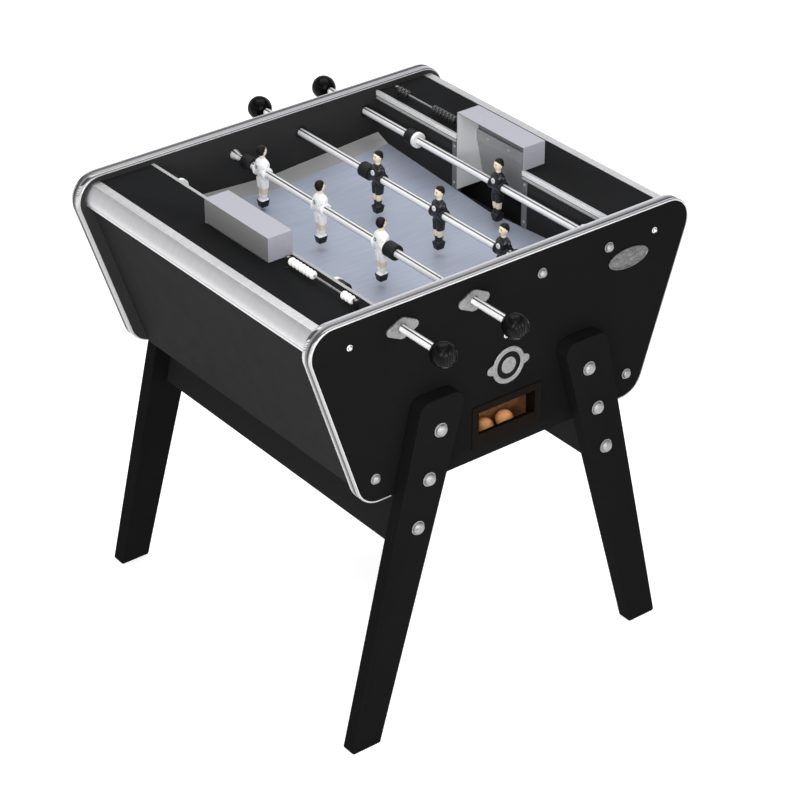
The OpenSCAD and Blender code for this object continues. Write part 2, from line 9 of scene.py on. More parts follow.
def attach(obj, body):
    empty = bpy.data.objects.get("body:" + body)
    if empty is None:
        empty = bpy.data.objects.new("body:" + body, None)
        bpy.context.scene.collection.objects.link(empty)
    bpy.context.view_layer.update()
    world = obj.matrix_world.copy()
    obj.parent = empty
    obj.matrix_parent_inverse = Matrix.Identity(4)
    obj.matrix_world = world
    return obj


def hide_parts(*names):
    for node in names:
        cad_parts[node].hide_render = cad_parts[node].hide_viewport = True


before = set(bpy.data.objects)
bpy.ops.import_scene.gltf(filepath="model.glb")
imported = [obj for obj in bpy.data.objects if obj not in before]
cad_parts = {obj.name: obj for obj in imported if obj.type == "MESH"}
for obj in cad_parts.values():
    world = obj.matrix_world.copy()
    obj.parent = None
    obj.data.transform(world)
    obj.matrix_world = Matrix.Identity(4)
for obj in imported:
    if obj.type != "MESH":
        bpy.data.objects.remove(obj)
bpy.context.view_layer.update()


MM = 0.001
UP = (0.0, 0.0, 1.0)
ALONG = (0.0, 1.0, 0.0)
OUTWARD = Vector((0.0, -1.0, 0.0))

# ---------------------------------------------------------------- mesh helpers


def link(obj):
    bpy.context.scene.collection.objects.link(obj)
    return obj


def piece(name, bm, *materials, sharp=35.0):
    """A new object from a bmesh, smooth apart from edges sharper than the given angle."""
    bmesh.ops.recalc_face_normals(bm, faces=bm.faces)
    mesh = bpy.data.meshes.new(name)
    bm.to_mesh(mesh)
    bm.free()
    for m in materials:
        mesh.materials.append(m)
    mesh.shade_smooth()
    mesh.set_sharp_from_angle(angle=math.radians(sharp))
    obj = link(bpy.data.objects.new(name, mesh))
    even = obj.modifiers.new("even_normals", "WEIGHTED_NORMAL")
    even.keep_sharp = True
    return obj


def built(name, bm, *materials, sharp=35.0):
    """A piece from a bmesh that was drawn in millimetres."""
    bmesh.ops.transform(bm, matrix=Matrix.Scale(MM, 4), verts=bm.verts)
    return piece(name, bm, *materials, sharp=sharp)


def bevel_sharp(bm, width, segments):
    """Rounds every edge whose faces meet at more than 30 degrees."""
    limit = math.radians(30.0)
    edges = [e for e in bm.edges if len(e.link_faces) == 2 and e.calc_face_angle(0.0) > limit]
    bmesh.ops.bevel(bm, geom=edges, offset=width, offset_type="OFFSET", segments=segments,
                    profile=0.5, affect="EDGES", clamp_overlap=False)


def node_mesh(node, bevel, segments):
    """A CAD node's mesh as a bmesh with its flat faces merged and its edges rounded."""
    bm = bmesh.new()
    bm.from_mesh(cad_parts[node].data)
    bmesh.ops.remove_doubles(bm, verts=bm.verts, dist=1e-6)
    bmesh.ops.dissolve_limit(bm, angle_limit=math.radians(0.5), verts=bm.verts, edges=bm.edges)
    bevel_sharp(bm, bevel, segments)
    return bm


def loft(bm, rings, material_index=0):
    """Joins rings of points, each with the same number of points, into a skin with closed ends."""
    rows = [[bm.verts.new(p) for p in ring] for ring in rings]
    faces = []
    for a, b in zip(rows, rows[1:]):
        n = len(a)
        for i in range(n):
            faces.append(bm.faces.new((a[i], a[(i + 1) % n], b[(i + 1) % n], b[i])))
    faces.append(bm.faces.new(list(reversed(rows[0]))))
    faces.append(bm.faces.new(rows[-1]))
    for f in faces:
        f.material_index = material_index
    return faces


def lathe(bm, profile, matrix, segments, material_index=0):
    """Turns a profile of (radius, height) points round the local Z axis; radius 0 closes an end."""
    rows = []
    for r, h in profile:
        if r <= 0.0:
            rows.append([bm.verts.new(matrix @ Vector((0.0, 0.0, h)))])
            continue
        ring = []
        for k in range(segments):
            a = 2.0 * math.pi * k / segments
            ring.append(bm.verts.new(matrix @ Vector((r * math.cos(a), r * math.sin(a), h))))
        rows.append(ring)
    for a, b in zip(rows, rows[1:]):
        for k in range(segments):
            j = (k + 1) % segments
            if len(a) == 1:
                f = bm.faces.new((a[0], b[j], b[k]))
            elif len(b) == 1:
                f = bm.faces.new((a[k], a[j], b[0]))
            else:
                f = bm.faces.new((a[k], a[j], b[j], b[k]))
            f.material_index = material_index


def washer(bm, profile, matrix, segments):
    """Turns a closed profile into a ring with a bore."""
    lathe(bm, list(profile) + [profile[0]], matrix, segments)


def axis_at(point, direction):
    """A matrix whose local Z runs along direction from point."""
    z = Vector(direction).normalized()
    return Matrix.Translation(Vector(point)) @ z.to_track_quat("Z", "Y").to_matrix().to_4x4()


def oval(matrix, z, cx, cy, half_x, half_y, power=2.0, steps=28):
    """A ring of points on a superellipse at height z of the matrix's frame."""
    ring = []
    for k in range(steps):
        a = 2.0 * math.pi * k / steps
        c, s = math.cos(a), math.sin(a)
        x = cx + half_x * math.copysign(abs(c) ** (2.0 / power), c)
        y = cy + half_y * math.copysign(abs(s) ** (2.0 / power), s)
        ring.append(matrix @ Vector((x, y, z)))
    return ring


def column(bm, matrix, sections, material_index=0, steps=28):
    """Lofts (z, cx, cy, half_x, half_y, power) sections upwards."""
    return loft(bm, [oval(matrix, *section, steps=steps) for section in sections], material_index)


def egg(bm, matrix, centre, radii, material_index=0, rows=12, steps=24):
    """An ellipsoid made of rings, with small flat poles."""
    sections = []
    for k in range(rows + 1):
        a = math.radians(-84.0 + 168.0 * k / rows)
        sections.append((centre[2] + radii[2] * math.sin(a), centre[0], centre[1],
                         radii[0] * math.cos(a), radii[1] * math.cos(a), 2.0))
    return column(bm, matrix, sections, material_index, steps)


def limb(bm, matrix, points, radii, material_index=0, steps=14):
    """A round limb along a bent path."""
    path = [Vector(p) for p in points]
    rings = []
    for k, p in enumerate(path):
        along = (path[min(k + 1, len(path) - 1)] - path[max(k - 1, 0)]).normalized()
        turn = along.to_track_quat("Z", "Y").to_matrix()
        ring = []
        for j in range(steps):
            a = 2.0 * math.pi * j / steps
            ring.append(matrix @ (p + turn @ Vector((radii[k] * math.cos(a), radii[k] * math.sin(a), 0))))
        rings.append(ring)
    return loft(bm, rings, material_index)


def dress(obj, body, slot, *nodes):
    """Gives a piece its body and hides the CAD nodes that it stands for; its slot is not used."""
    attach(obj, body)
    if nodes:
        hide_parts(*nodes)
    return obj


# ---------------------------------------------------------------- materials


class Recipe:
    """A Principled material and the few node calls that the recipes below share."""

    def __init__(self, name, metallic=0.0, roughness=0.5, specular=0.5, coat=0.0):
        self.material = bpy.data.materials.new(name)
        self.material.use_nodes = True
        self.tree = self.material.node_tree
        self.shader = self.tree.nodes["Principled BSDF"]
        self.shader.inputs["Metallic"].default_value = metallic
        self.shader.inputs["Roughness"].default_value = roughness
        self.shader.inputs["Specular IOR Level"].default_value = specular
        if coat:
            self.shader.inputs["Coat Weight"].default_value = coat
            self.shader.inputs["Coat Roughness"].default_value = 0.08
        self.coordinates = self.tree.nodes.new("ShaderNodeTexCoord").outputs["Object"]

    def mapped(self, stretch=(1, 1, 1), turn=(0, 0, 0)):
        node = self.tree.nodes.new("ShaderNodeMapping")
        node.inputs["Scale"].default_value = stretch
        node.inputs["Rotation"].default_value = [math.radians(a) for a in turn]
        self.tree.links.new(self.coordinates, node.inputs["Vector"])
        return node.outputs["Vector"]

    def noise(self, scale, detail=3.0, roughness=0.5, stretch=(1, 1, 1), turn=(0, 0, 0)):
        node = self.tree.nodes.new("ShaderNodeTexNoise")
        node.inputs["Scale"].default_value = scale
        node.inputs["Detail"].default_value = detail
        node.inputs["Roughness"].default_value = roughness
        self.tree.links.new(self.mapped(stretch, turn), node.inputs["Vector"])
        return node.outputs["Fac"]

    def ramp(self, value, stops):
        node = self.tree.nodes.new("ShaderNodeValToRGB")
        band = node.color_ramp
        while len(band.elements) < len(stops):
            band.elements.new(0.5)
        for element, (position, colour) in zip(band.elements, stops):
            element.position = position
            element.color = (*colour, 1.0)
        self.tree.links.new(value, node.inputs["Fac"])
        return node.outputs["Color"]

    def spread(self, value, low, high):
        """Maps a noise value, mostly 0.3 to 0.7, to low..high."""
        node = self.tree.nodes.new("ShaderNodeMapRange")
        node.inputs["From Min"].default_value = 0.3
        node.inputs["From Max"].default_value = 0.7
        node.inputs["To Min"].default_value = low
        node.inputs["To Max"].default_value = high
        self.tree.links.new(value, node.inputs["Value"])
        return node.outputs["Result"]

    def mix(self, factor, a, b, kind="MIX"):
        node = self.tree.nodes.new("ShaderNodeMix")
        node.data_type = "RGBA"
        node.blend_type = kind
        if isinstance(factor, float):
            node.inputs["Factor"].default_value = factor
        else:
            self.tree.links.new(factor, node.inputs["Factor"])
        for socket, value in ((node.inputs[6], a), (node.inputs[7], b)):
            if isinstance(value, tuple):
                socket.default_value = (*value, 1.0)
            else:
                self.tree.links.new(value, socket)
        return node.outputs[2]

    def edges(self, low=0.52, high=0.62):
        """1 along convex edges, 0 on flats."""
        node = self.tree.nodes.new("ShaderNodeNewGeometry")
        remap = self.tree.nodes.new("ShaderNodeMapRange")
        remap.inputs["From Min"].default_value = low
        remap.inputs["From Max"].default_value = high
        self.tree.links.new(node.outputs["Pointiness"], remap.inputs["Value"])
        return remap.outputs["Result"]

    def facing(self, direction):
        """How far the surface turns towards a fixed direction, -1 to 1, as 0 to 1."""
        normal = self.tree.nodes.new("ShaderNodeNewGeometry").outputs["Normal"]
        dot = self.tree.nodes.new("ShaderNodeVectorMath")
        dot.operation = "DOT_PRODUCT"
        dot.inputs[1].default_value = direction
        self.tree.links.new(normal, dot.inputs[0])
        half = self.tree.nodes.new("ShaderNodeMath")
        half.operation = "MULTIPLY_ADD"
        half.inputs[1].default_value = 0.5
        half.inputs[2].default_value = 0.5
        self.tree.links.new(dot.outputs["Value"], half.inputs[0])
        return half.outputs["Value"]

    def level(self, low, high):
        """Height above the floor in metres, low..high as 0..1."""
        axes = self.tree.nodes.new("ShaderNodeSeparateXYZ")
        self.tree.links.new(self.coordinates, axes.inputs["Vector"])
        remap = self.tree.nodes.new("ShaderNodeMapRange")
        remap.inputs["From Min"].default_value = low
        remap.inputs["From Max"].default_value = high
        self.tree.links.new(axes.outputs["Z"], remap.inputs["Value"])
        return remap.outputs["Result"]

    def bump(self, height, strength, distance=0.0005):
        node = self.tree.nodes.new("ShaderNodeBump")
        node.inputs["Strength"].default_value = strength
        node.inputs["Distance"].default_value = distance
        self.tree.links.new(height, node.inputs["Height"])
        previous = self.shader.inputs["Normal"]
        if previous.is_linked:
            self.tree.links.new(previous.links[0].from_socket, node.inputs["Normal"])
        self.tree.links.new(node.outputs["Normal"], self.shader.inputs["Normal"])

    def colour(self, output):
        self.tree.links.new(output, self.shader.inputs["Base Color"])

    def roughness(self, output):
        self.tree.links.new(output, self.shader.inputs["Roughness"])


def shade(rgb, factor):
    return tuple(min(1.0, c * factor) for c in rgb)


def laminate(name, rgb, rough):
    """Board with a satin laminate: a fine pearled surface, slight cloudiness, paler convex edges that are
    partly rubbed wear and partly a painted edge highlight.
    """
    r = Recipe(name, roughness=rough, specular=0.005)
    cloud = r.ramp(r.noise(6.0, 4.0), [(0.3, shade(rgb, 0.95)), (0.7, shade(rgb, 1.05))])
    # convex edges painted paler: partly rubbed wear, partly a painted edge highlight
    r.colour(r.mix(r.edges(), cloud, shade(rgb, 1.9)))
    r.roughness(r.spread(r.noise(30.0, 3.0), rough - 0.05, rough + 0.06))
    r.bump(r.noise(900.0, 2.0), 0.10, 0.0003)
    return r.material


def metal(name, rgb, rough, grain, grain_scale, bump, variation):
    """Bare or plated metal with a directional grain."""
    r = Recipe(name, metallic=1.0, roughness=rough)
    streak = r.noise(grain_scale, 4.0, 0.6, grain)
    r.colour(r.ramp(streak, [(0.3, shade(rgb, 1.0 - variation)), (0.7, shade(rgb, 1.0 + variation))]))
    r.roughness(r.spread(streak, rough * 0.75, rough * 1.25))
    r.bump(streak, bump, 0.0003)
    return r.material


def sheen_metal(name, direction, stops, rough, grain_scale=300.0, bump=0.03, shine=0.25):
    """Bright metal whose reflections are bands of base colour, laid by the way each face looks."""
    r = Recipe(name, metallic=shine, roughness=rough)
    bands = r.ramp(r.facing(direction), stops)
    streak = r.noise(grain_scale, 4.0, 0.6)
    wear = r.ramp(streak, [(0.3, (0.93, 0.93, 0.93)), (0.7, (1.0, 1.0, 1.0))])
    r.colour(r.mix(1.0, bands, wear, "MULTIPLY"))
    r.roughness(r.spread(streak, rough * 0.8, rough * 1.2))
    r.bump(streak, bump, 0.0002)
    return r.material


def grey(value, blue=1.0):
    return (value, value, min(1.0, value * blue))


def plastic(name, rgb, rough, scale=500.0, bump=0.06, coat=0.0, variation=0.08, specular=0.5):
    """Moulded plastic, rubber or paint with a fine surface."""
    r = Recipe(name, roughness=rough, specular=specular, coat=coat)
    darker = shade(rgb, 1.0 - variation)
    lighter = shade(rgb, 1.0 + variation)
    cloud = r.ramp(r.noise(35.0, 3.0), [(0.3, darker), (0.7, lighter)])
    r.colour(r.mix(r.edges(0.54, 0.68), cloud, shade(rgb, 1.35)))
    r.roughness(r.spread(r.noise(80.0, 3.0), rough * 0.85, rough * 1.2))
    r.bump(r.noise(scale, 2.0), bump, 0.0002)
    return r.material


def wood(name, dark, light):
    """Plain board with straight grain along Y."""
    rough = 0.55
    along = (60, 4, 60)
    r = Recipe(name, roughness=rough)
    grain = r.noise(1.0, 6.0, 0.65, along)
    pores = r.noise(8.0, 3.0, 0.5, along)
    board = r.ramp(grain, [(0.3, dark), (0.52, shade(light, 0.8)), (0.7, light)])
    r.colour(r.mix(r.spread(pores, 0.0, 0.35), board, shade(dark, 0.7)))
    r.roughness(r.spread(grain, rough - 0.08, rough + 0.1))
    r.bump(pores, 0.15, 0.0003)
    return r.material


black_laminate = laminate("black_laminate", (0.0052, 0.0052, 0.0053), 0.6)
# painted light: a paler copy of the black laminate for the side panels' inner faces and the end walls,
# standing in for the light that reaches them
inner_laminate_painted_light = laminate("inner_laminate_painted_light", (0.0235, 0.0235, 0.0237), 0.6)
leg_laminate = laminate("leg_laminate", (0.0056, 0.0056, 0.0057), 0.6)
apron_laminate = laminate("apron_laminate", (0.0095, 0.0095, 0.0097), 0.6)
deck_laminate = laminate("deck_laminate", (0.0092, 0.0094, 0.0098), 0.6)
end_laminate = laminate("end_laminate", (0.0135, 0.0135, 0.0136), 0.6)
# painted reflections on the chrome bars and tubes: bright and dark bands, with a dark painted reflection
# line, by the way each face looks
chrome = sheen_metal("chrome", (0.705, 0.0, 0.71), [
    (0.00, grey(0.45)), (0.12, grey(0.95)), (0.30, grey(1.0)), (0.50, grey(0.90)), (0.54, grey(0.70)),
    (0.575, grey(0.09)), (0.70, grey(0.05)), (0.74, grey(0.70)), (0.84, grey(0.80)), (0.91, grey(0.40)),
    (1.00, grey(0.20))], 0.20)
# painted reflections on the polished edge trims: stripes of light and dark by the way each face looks
trim_chrome = sheen_metal("polished_trim", (0.30, 0.41, 0.86), [
    (0.00, grey(0.30)), (0.24, grey(0.36)), (0.32, grey(0.55)), (0.48, grey(0.48)), (0.50, grey(0.10)),
    (0.52, grey(0.75)), (0.54, grey(0.10)), (0.56, grey(0.80)), (0.58, grey(0.08)), (0.60, grey(0.85)),
    (0.625, grey(0.07)), (0.65, grey(0.80)), (0.68, grey(0.05)), (0.82, grey(0.06)), (0.86, grey(0.62)),
    (0.89, grey(0.30, 1.08)), (0.93, grey(0.42, 1.08)), (0.97, grey(0.62)), (1.00, grey(0.75))], 0.16)
# painted shade: the trim's groove coloured near black where shade falls in it
groove_painted_shade = sheen_metal("trim_groove_painted_shade", UP, [(0.0, grey(0.03)), (1.0, grey(0.040, 1.08))], 0.35, shine=0.0)
shade_metal = sheen_metal("trim_shade", UP, [(0.0, grey(0.10)), (1.0, grey(0.20, 1.08))], 0.3, shine=0.1)


def slim_rail_material():
    """Narrow rail with its light and shade painted as bands: a grey crown where it faces up, a bright painted
    reflection on the upper face, a painted dark slot shade above a pale painted lower lip.
    """
    r = Recipe("slim_rail", metallic=0.25, roughness=0.3)
    # painted bands by height: the slot's shade dark, the lower lip and the upper face painted light
    face = r.ramp(r.level(0.866, 0.886), [
        (0.0, grey(0.06)), (0.20, grey(0.06)), (0.22, grey(0.55)), (0.36, grey(0.60)), (0.39, grey(0.04)),
        (0.50, grey(0.04)), (0.53, grey(0.90)), (0.97, grey(0.95))])
    # the up-facing crown painted grey against the painted reflection below it
    crown = r.ramp(r.facing(UP), [(0.0, grey(0.0)), (0.80, grey(0.0)), (0.95, grey(1.0))])
    streak = r.noise(900.0, 3.0)
    r.colour(r.mix(crown, face, grey(0.40)))
    r.roughness(r.spread(streak, 0.24, 0.36))
    r.bump(streak, 0.02, 0.0002)
    return r.material


slim_metal = slim_rail_material()
rail_metal = metal("brushed_rail", (0.61, 0.61, 0.612), 0.42, (6, 1500, 6), 1.0, 0.25, 0.10)
# painted light and shade on the goal boxes: faces towards -X painted dark, faces across and upwards painted
# lighter, as light falls and reflects on them
sheet_metal = sheen_metal("sheet_metal", (1.0, 0.0, 0.0), [
    (0.0, grey(0.19)), (0.18, grey(0.24)), (0.42, grey(0.44)), (0.50, grey(0.38, 1.13)), (0.60, grey(0.38)),
    (1.0, grey(0.30))], 0.5, 900.0, 0.06)
# painted light: a near-white copy of the sheet metal for the goal boxes' inner cheeks, standing in for the
# light on them
cheek_metal_painted_light = sheen_metal("cheek_metal_painted_light", UP, [(0.0, grey(0.95)), (1.0, grey(0.95))], 0.5, 900.0, 0.06)
# painted light: the goal flaps painted paler than their dark well allows, palest where they face up
flap_metal = sheen_metal("flap_metal", UP, [
    (0.0, grey(0.30)), (0.5, grey(0.36)), (1.0, grey(0.55))], 0.5, 700.0, 0.08)
cast_metal = metal("cast_plate", (0.25, 0.25, 0.247), 0.6, (1, 1, 1), 320.0, 1.0, 0.38)
plate_metal = metal("badge_plate", (0.26, 0.26, 0.257), 0.55, (1, 1, 1), 260.0, 0.9, 0.30)
oval_metal = metal("oval_plate", (0.14, 0.14, 0.14), 0.45, (1, 1, 3), 110.0, 1.0, 0.55)
bolt_metal = metal("zinc_bolt", (0.31, 0.31, 0.31), 0.55, (1, 1, 1), 260.0, 0.9, 0.30)
screw_metal = metal("screw_zinc", (0.66, 0.66, 0.65), 0.35, (1, 1, 1), 400.0, 0.12, 0.10)
window_plastic = plastic("frame_plastic", (0.0042, 0.0031, 0.0024), 0.5, specular=0.02)
bush_plastic = plastic("bush_plastic", (0.008, 0.008, 0.008), 0.5, specular=0.2)
badge_black = plastic("badge_black", (0.006, 0.006, 0.006), 0.5, specular=0.02)
nylon = plastic("white_nylon", (0.80, 0.80, 0.78), 0.38)
knob_plastic = plastic("knob_black", (0.0035, 0.0035, 0.0035), 0.18, 400.0, 0.03,
                       variation=0.3, specular=0.06)
rubber = plastic("bumper_rubber", (0.008, 0.008, 0.008), 0.55, 700.0, 0.2, specular=0.25)
stand_plastic = plastic("black_stand", (0.008, 0.008, 0.008), 0.4, specular=0.3)
white_bead_plastic = plastic("white_bead", (0.82, 0.82, 0.80), 0.28, 300.0, 0.03, 0.3)
black_bead_plastic = plastic("black_bead", (0.008, 0.008, 0.008), 0.28, 300.0, 0.03, 0.3)
return_wood = wood("return_wood", (0.10, 0.036, 0.013), (0.27, 0.115, 0.045))
bottom_wood = wood("bottom_wood", (0.05, 0.032, 0.02), (0.13, 0.09, 0.06))
white_paint = plastic("white_kit", (0.93, 0.93, 0.92), 0.33, 300.0, 0.05, 0.2, variation=0.03)
black_paint = plastic("black_kit", (0.010, 0.010, 0.013), 0.30, 300.0, 0.05, 0.2, specular=0.35)
skin_paint = plastic("skin_paint", (0.80, 0.69, 0.52), 0.4, 300.0, 0.05, variation=0.04)
hair_paint = plastic("hair_paint", (0.008, 0.007, 0.006), 0.5, 260.0, 0.25, specular=0.15)
boot_paint = plastic("boot_paint", (0.007, 0.007, 0.008), 0.35, 300.0, 0.06, specular=0.3)
patch_paint = plastic("patch_paint", (0.72, 0.72, 0.71), 0.4, 300.0, 0.05)
dot_paint = plastic("dot_paint", (0.07, 0.07, 0.075), 0.4, 300.0, 0.05)
lip_paint = plastic("lip_paint", (0.34, 0.13, 0.10), 0.45, 300.0, 0.05)


def field_material():
    """Blue-grey playing surface with fine long streaks and a soft sheen."""
    r = Recipe("grey_playfield", roughness=0.36, specular=0.45)
    streak = r.noise(1.0, 6.0, 0.6, (16, 240, 16), (0, 0, 28))
    cloud = r.noise(9.0, 4.0)
    base = r.ramp(streak, [(0.3, (0.320, 0.352, 0.435)), (0.7, (0.395, 0.435, 0.520))])
    r.colour(r.mix(r.spread(cloud, 0.0, 0.25), base, (0.28, 0.31, 0.39)))
    r.roughness(r.spread(streak, 0.30, 0.44))
    r.bump(streak, 0.08, 0.0002)
    return r.material


def cork_material():
    """Orange-stained cork: fine bands and dark pores."""
    r = Recipe("cork_ball", roughness=0.62)
    grain = r.noise(1.0, 5.0, 0.6, (60, 500, 300), (20, 35, 10))
    pores = r.noise(420.0, 2.0)
    base = r.ramp(grain, [(0.3, (0.80, 0.33, 0.12)), (0.7, (1.0, 0.47, 0.19))])
    r.colour(r.mix(r.spread(pores, 0.0, 0.3), base, (0.60, 0.24, 0.08)))
    r.bump(pores, 0.3, 0.0004)
    return r.material


grey_field = field_material()
grey_ramp = laminate("grey_ramp", (0.30, 0.30, 0.295), 0.45)
cork = cork_material()

# ---------------------------------------------------------------- pieces from their CAD shape


def refined(node, material, slot, bevel, segments=2):
    """A fixed CAD node's shape with merged flats and rounded edges."""
    obj = piece(node + "_shell", node_mesh(node, bevel, segments), material)
    return dress(obj, "table", slot, node)


def inward(obj, material, reach):
    """Gives the faces that look towards the middle plane, and lie beyond reach of it, their own material."""
    obj.data.materials.append(material)
    for face in obj.data.polygons:
        if face.normal.y * face.center.y < -reach:
            face.material_index = 1


for end in ("near", "far"):
    panel = refined("side_panel_" + end, black_laminate, "black_laminate", 0.6 * MM)
    # the side panels' inward faces get the paler painted-light copy of the laminate
    inward(panel, inner_laminate_painted_light, 0.3)
for side in ("left", "right"):
    refined("end_panel_" + side, end_laminate, "charcoal_laminate", 0.8 * MM)
    refined("end_deck_" + side, deck_laminate, "charcoal_laminate", 0.8 * MM)
    refined("end_wall_" + side, inner_laminate_painted_light, "black_laminate", 0.8 * MM)
    goal_box = refined("goal_box_" + side, sheet_metal, "sheet_metal", 0.3 * MM)
    # the goal box's inward faces get the near-white painted-light copy
    inward(goal_box, cheek_metal_painted_light, 0.08)
    for end in ("near", "far"):
        refined(f"leg_{end}_{side}", leg_laminate, "black_laminate", 2.5 * MM, 3)
refined("inner_rails", slim_metal, "polished_trim", 0.25 * MM)
refined("goal_flaps", flap_metal, "sheet_metal", 0.3 * MM)
refined("aprons", apron_laminate, "black_laminate", 1.0 * MM)
refined("ball_window_frame", window_plastic, "frame_plastic", 0.8 * MM)
refined("bottom_board", bottom_wood, "raw_wood", 0.8 * MM)
refined("ball_return_board", return_wood, "raw_wood", 0.8 * MM)
refined("ball_trough", return_wood, "raw_wood", 0.6 * MM)
refined("rod_flanges", cast_metal, "cast_plate", 1.2 * MM, 3)

# ---------------------------------------------------------------- measures shared with the CAD part

PANEL_Y = 375.0
INNER_Y = 351.0
PANEL_LOW = 511.0
PANEL_TOP = 900.0
PANEL_LOW_X = 323.6
LOW_CORNER_R = 52.0
TOP_CORNER_R = 50.0
LEG_FACE_Y = 405.6
DECK_TOP = 884.5
ROD_X = (-237.75, -79.25, 79.25, 237.75)
ROD_Z = 849.2
ROD_PUSH = (57.0, 73.0, 81.5, 61.0)
KNOB_REST = 491.0
FIELD_X = 268.0
RAMP_Y = 318.0
LEAN = 0.3307
LEAN_LEN = math.hypot(1.0, LEAN)

IDENTITY = Matrix.Identity(4)
HALF_TURN = Matrix.Rotation(math.pi, 4, "Z")
BOTH_SIDES = (IDENTITY, HALF_TURN)

# ---------------------------------------------------------------- edge trims and rails


def corner_arc(a, p, b, r):
    """One rounded corner at p between neighbours a and b."""
    steps = 12
    a, p, b = Vector(a), Vector(p), Vector(b)
    u, v = (a - p).normalized(), (b - p).normalized()
    half = math.acos(u.dot(v)) / 2.0
    centre = p + (u + v).normalized() * r / math.sin(half)
    t1 = p + u * r / math.tan(half) - centre
    t2 = p + v * r / math.tan(half) - centre
    start = math.atan2(t1.y, t1.x)
    turn = math.atan2(t1.x * t2.y - t1.y * t2.x, t1.dot(t2))
    return [centre + r * Vector((math.cos(start + turn * k / steps), math.sin(start + turn * k / steps)))
            for k in range(steps + 1)]


# The trim's open ends and the points just before them, along the panel's lower edge.
TRIM_END_X = 261.0
TRIM_BEND_X = 285.0


def trim_line(d):
    """The trimmed panel edge, pulled in by d, from one open end over the top to the other."""
    z0, z1 = PANEL_LOW + d, PANEL_TOP - d
    x0 = PANEL_LOW_X + (z0 - PANEL_LOW) * LEAN - d * LEAN_LEN
    x1 = PANEL_LOW_X + (z1 - PANEL_LOW) * LEAN - d * LEAN_LEN
    low, high = LOW_CORNER_R - d, TOP_CORNER_R - d
    points = [Vector((-TRIM_END_X, z0)), Vector((-TRIM_BEND_X, z0))]
    points += corner_arc((0, z0), (-x0, z0), (-x1, z1), low)
    points += corner_arc((-x0, z0), (-x1, z1), (x1, z1), high)
    points += corner_arc((-x1, z1), (x1, z1), (x0, z0), high)
    points += corner_arc((x1, z1), (x0, z0), (0, z0), low)
    points += [Vector((TRIM_BEND_X, z0)), Vector((TRIM_END_X, z0))]
    return points


TRIM_PROUD = 1.2
# Where the end boards stand against the panel, and the trim's inner lip is cut back.
END_BOARD_X = 304.0
END_BOARD_Z = 530.0
# Section of the trim: distance from its outer face, depth below its crest.
TRIM_SECTION = (
    (0.0, 3.6), (0.0, 2.1), (0.3, 1.2), (1.0, 0.5), (2.1, 0.1), (3.6, 0.0), (5.0, 0.15), (6.0, 0.6),
    (6.8, 1.4), (8.6, 1.5), (9.8, 0.9), (11.2, 0.45), (13.0, 0.15), (15.5, 0.0), (19.0, 0.0), (21.6, 0.25),
    (23.6, 0.8), (25.0, 1.6), (26.0, 2.6), (26.4, 3.6), (25.2, 3.6), (25.1, 2.6), (24.4, 2.0), (1.6, 2.0),
    (1.2, 2.6), (1.2, 3.6),
)
# Which strips of that section lie in the groove, painted dark as its shade (1), and in its softer painted
# inner shade (2).
GROOVE_TONE = {6: 1, 7: 1, 8: 1, 9: 1, 10: 1, 11: 2, 12: 2}


def edge_trim(name, node, turn):
    """A swept extrusion with a bead, a groove and a crown; its inner lip stops at the end boards."""
    lines = [trim_line(d) for _, d in TRIM_SECTION]
    rings = []
    for k in range(len(lines[0])):
        inside = abs(lines[0][k].x) < END_BOARD_X and lines[0][k].y < END_BOARD_Z
        ring = []
        for (s, _), line in zip(TRIM_SECTION, lines):
            y = -PANEL_Y - TRIM_PROUD + s
            if inside:
                y = min(y, -INNER_Y)
            ring.append(turn @ Vector((line[k].x, y, line[k].y)))
        rings.append(ring)
    bm = bmesh.new()
    skin = loft(bm, rings)
    for k, face in enumerate(skin[:-2]):
        face.material_index = GROOVE_TONE.get(k % len(TRIM_SECTION), 0)
    trim = built(name, bm, trim_chrome, groove_painted_shade, shade_metal, sharp=50.0)
    dress(trim, "table", "polished_trim", node)


edge_trim("edge_trim_near_profile", "edge_trim_near", IDENTITY)
edge_trim("edge_trim_far_profile", "edge_trim_far", HALF_TURN)

# Section of the corner rail in X and Z: top strip, groove, rounded nose, lower lip.
RAIL_SECTION = (
    (384.0, 884.6), (384.0, 886.2), (384.4, 886.5), (398.2, 886.5), (398.9, 886.2), (399.4, 885.3),
    (400.3, 885.1), (401.0, 885.6), (402.4, 885.3), (405.6, 882.8), (409.0, 879.3), (412.2, 875.3),
    (415.0, 870.9), (417.2, 866.0), (418.5, 861.2), (419.0, 856.8), (418.9, 853.8), (418.3, 852.9),
    (417.5, 852.2), (418.0, 851.5), (418.3, 850.4), (416.9, 845.6), (416.2, 845.1), (408.0, 845.1),
    (415.6, 866.7), (396.2, 866.7), (396.2, 884.6),
)
GOAL_EDGE_Y = 117.0


def corner_rail(name, node, turn):
    bm = bmesh.new()
    stations = (-INNER_Y, -GOAL_EDGE_Y, GOAL_EDGE_Y, INNER_Y)
    loft(bm, [[turn @ Vector((x, y, z)) for x, z in RAIL_SECTION] for y in stations])
    dress(built(name, bm, rail_metal, sharp=28.0), "table", "brushed_rail", node)


corner_rail("corner_rail_right_profile", "corner_rail_right", IDENTITY)
corner_rail("corner_rail_left_profile", "corner_rail_left", HALF_TURN)

# ---------------------------------------------------------------- playing surface

FIELD_Z = 758.0
FIELD_UNDER = 742.0
FIELD_CELLS = 24
DISH = 23.0
RAMP_RISE = 13.0


def field_height(x, y):
    """The dished field: level along its middle line, rising most towards its corners."""
    return FIELD_Z + DISH * (abs(y) / RAMP_Y) * (0.25 + 0.75 * abs(x) / FIELD_X)


def ramp_height(x, y):
    """The side ramps carry on from the field's edge up to the side panels."""
    return field_height(x, RAMP_Y) + RAMP_RISE * (abs(y) - RAMP_Y) / (INNER_Y - RAMP_Y)


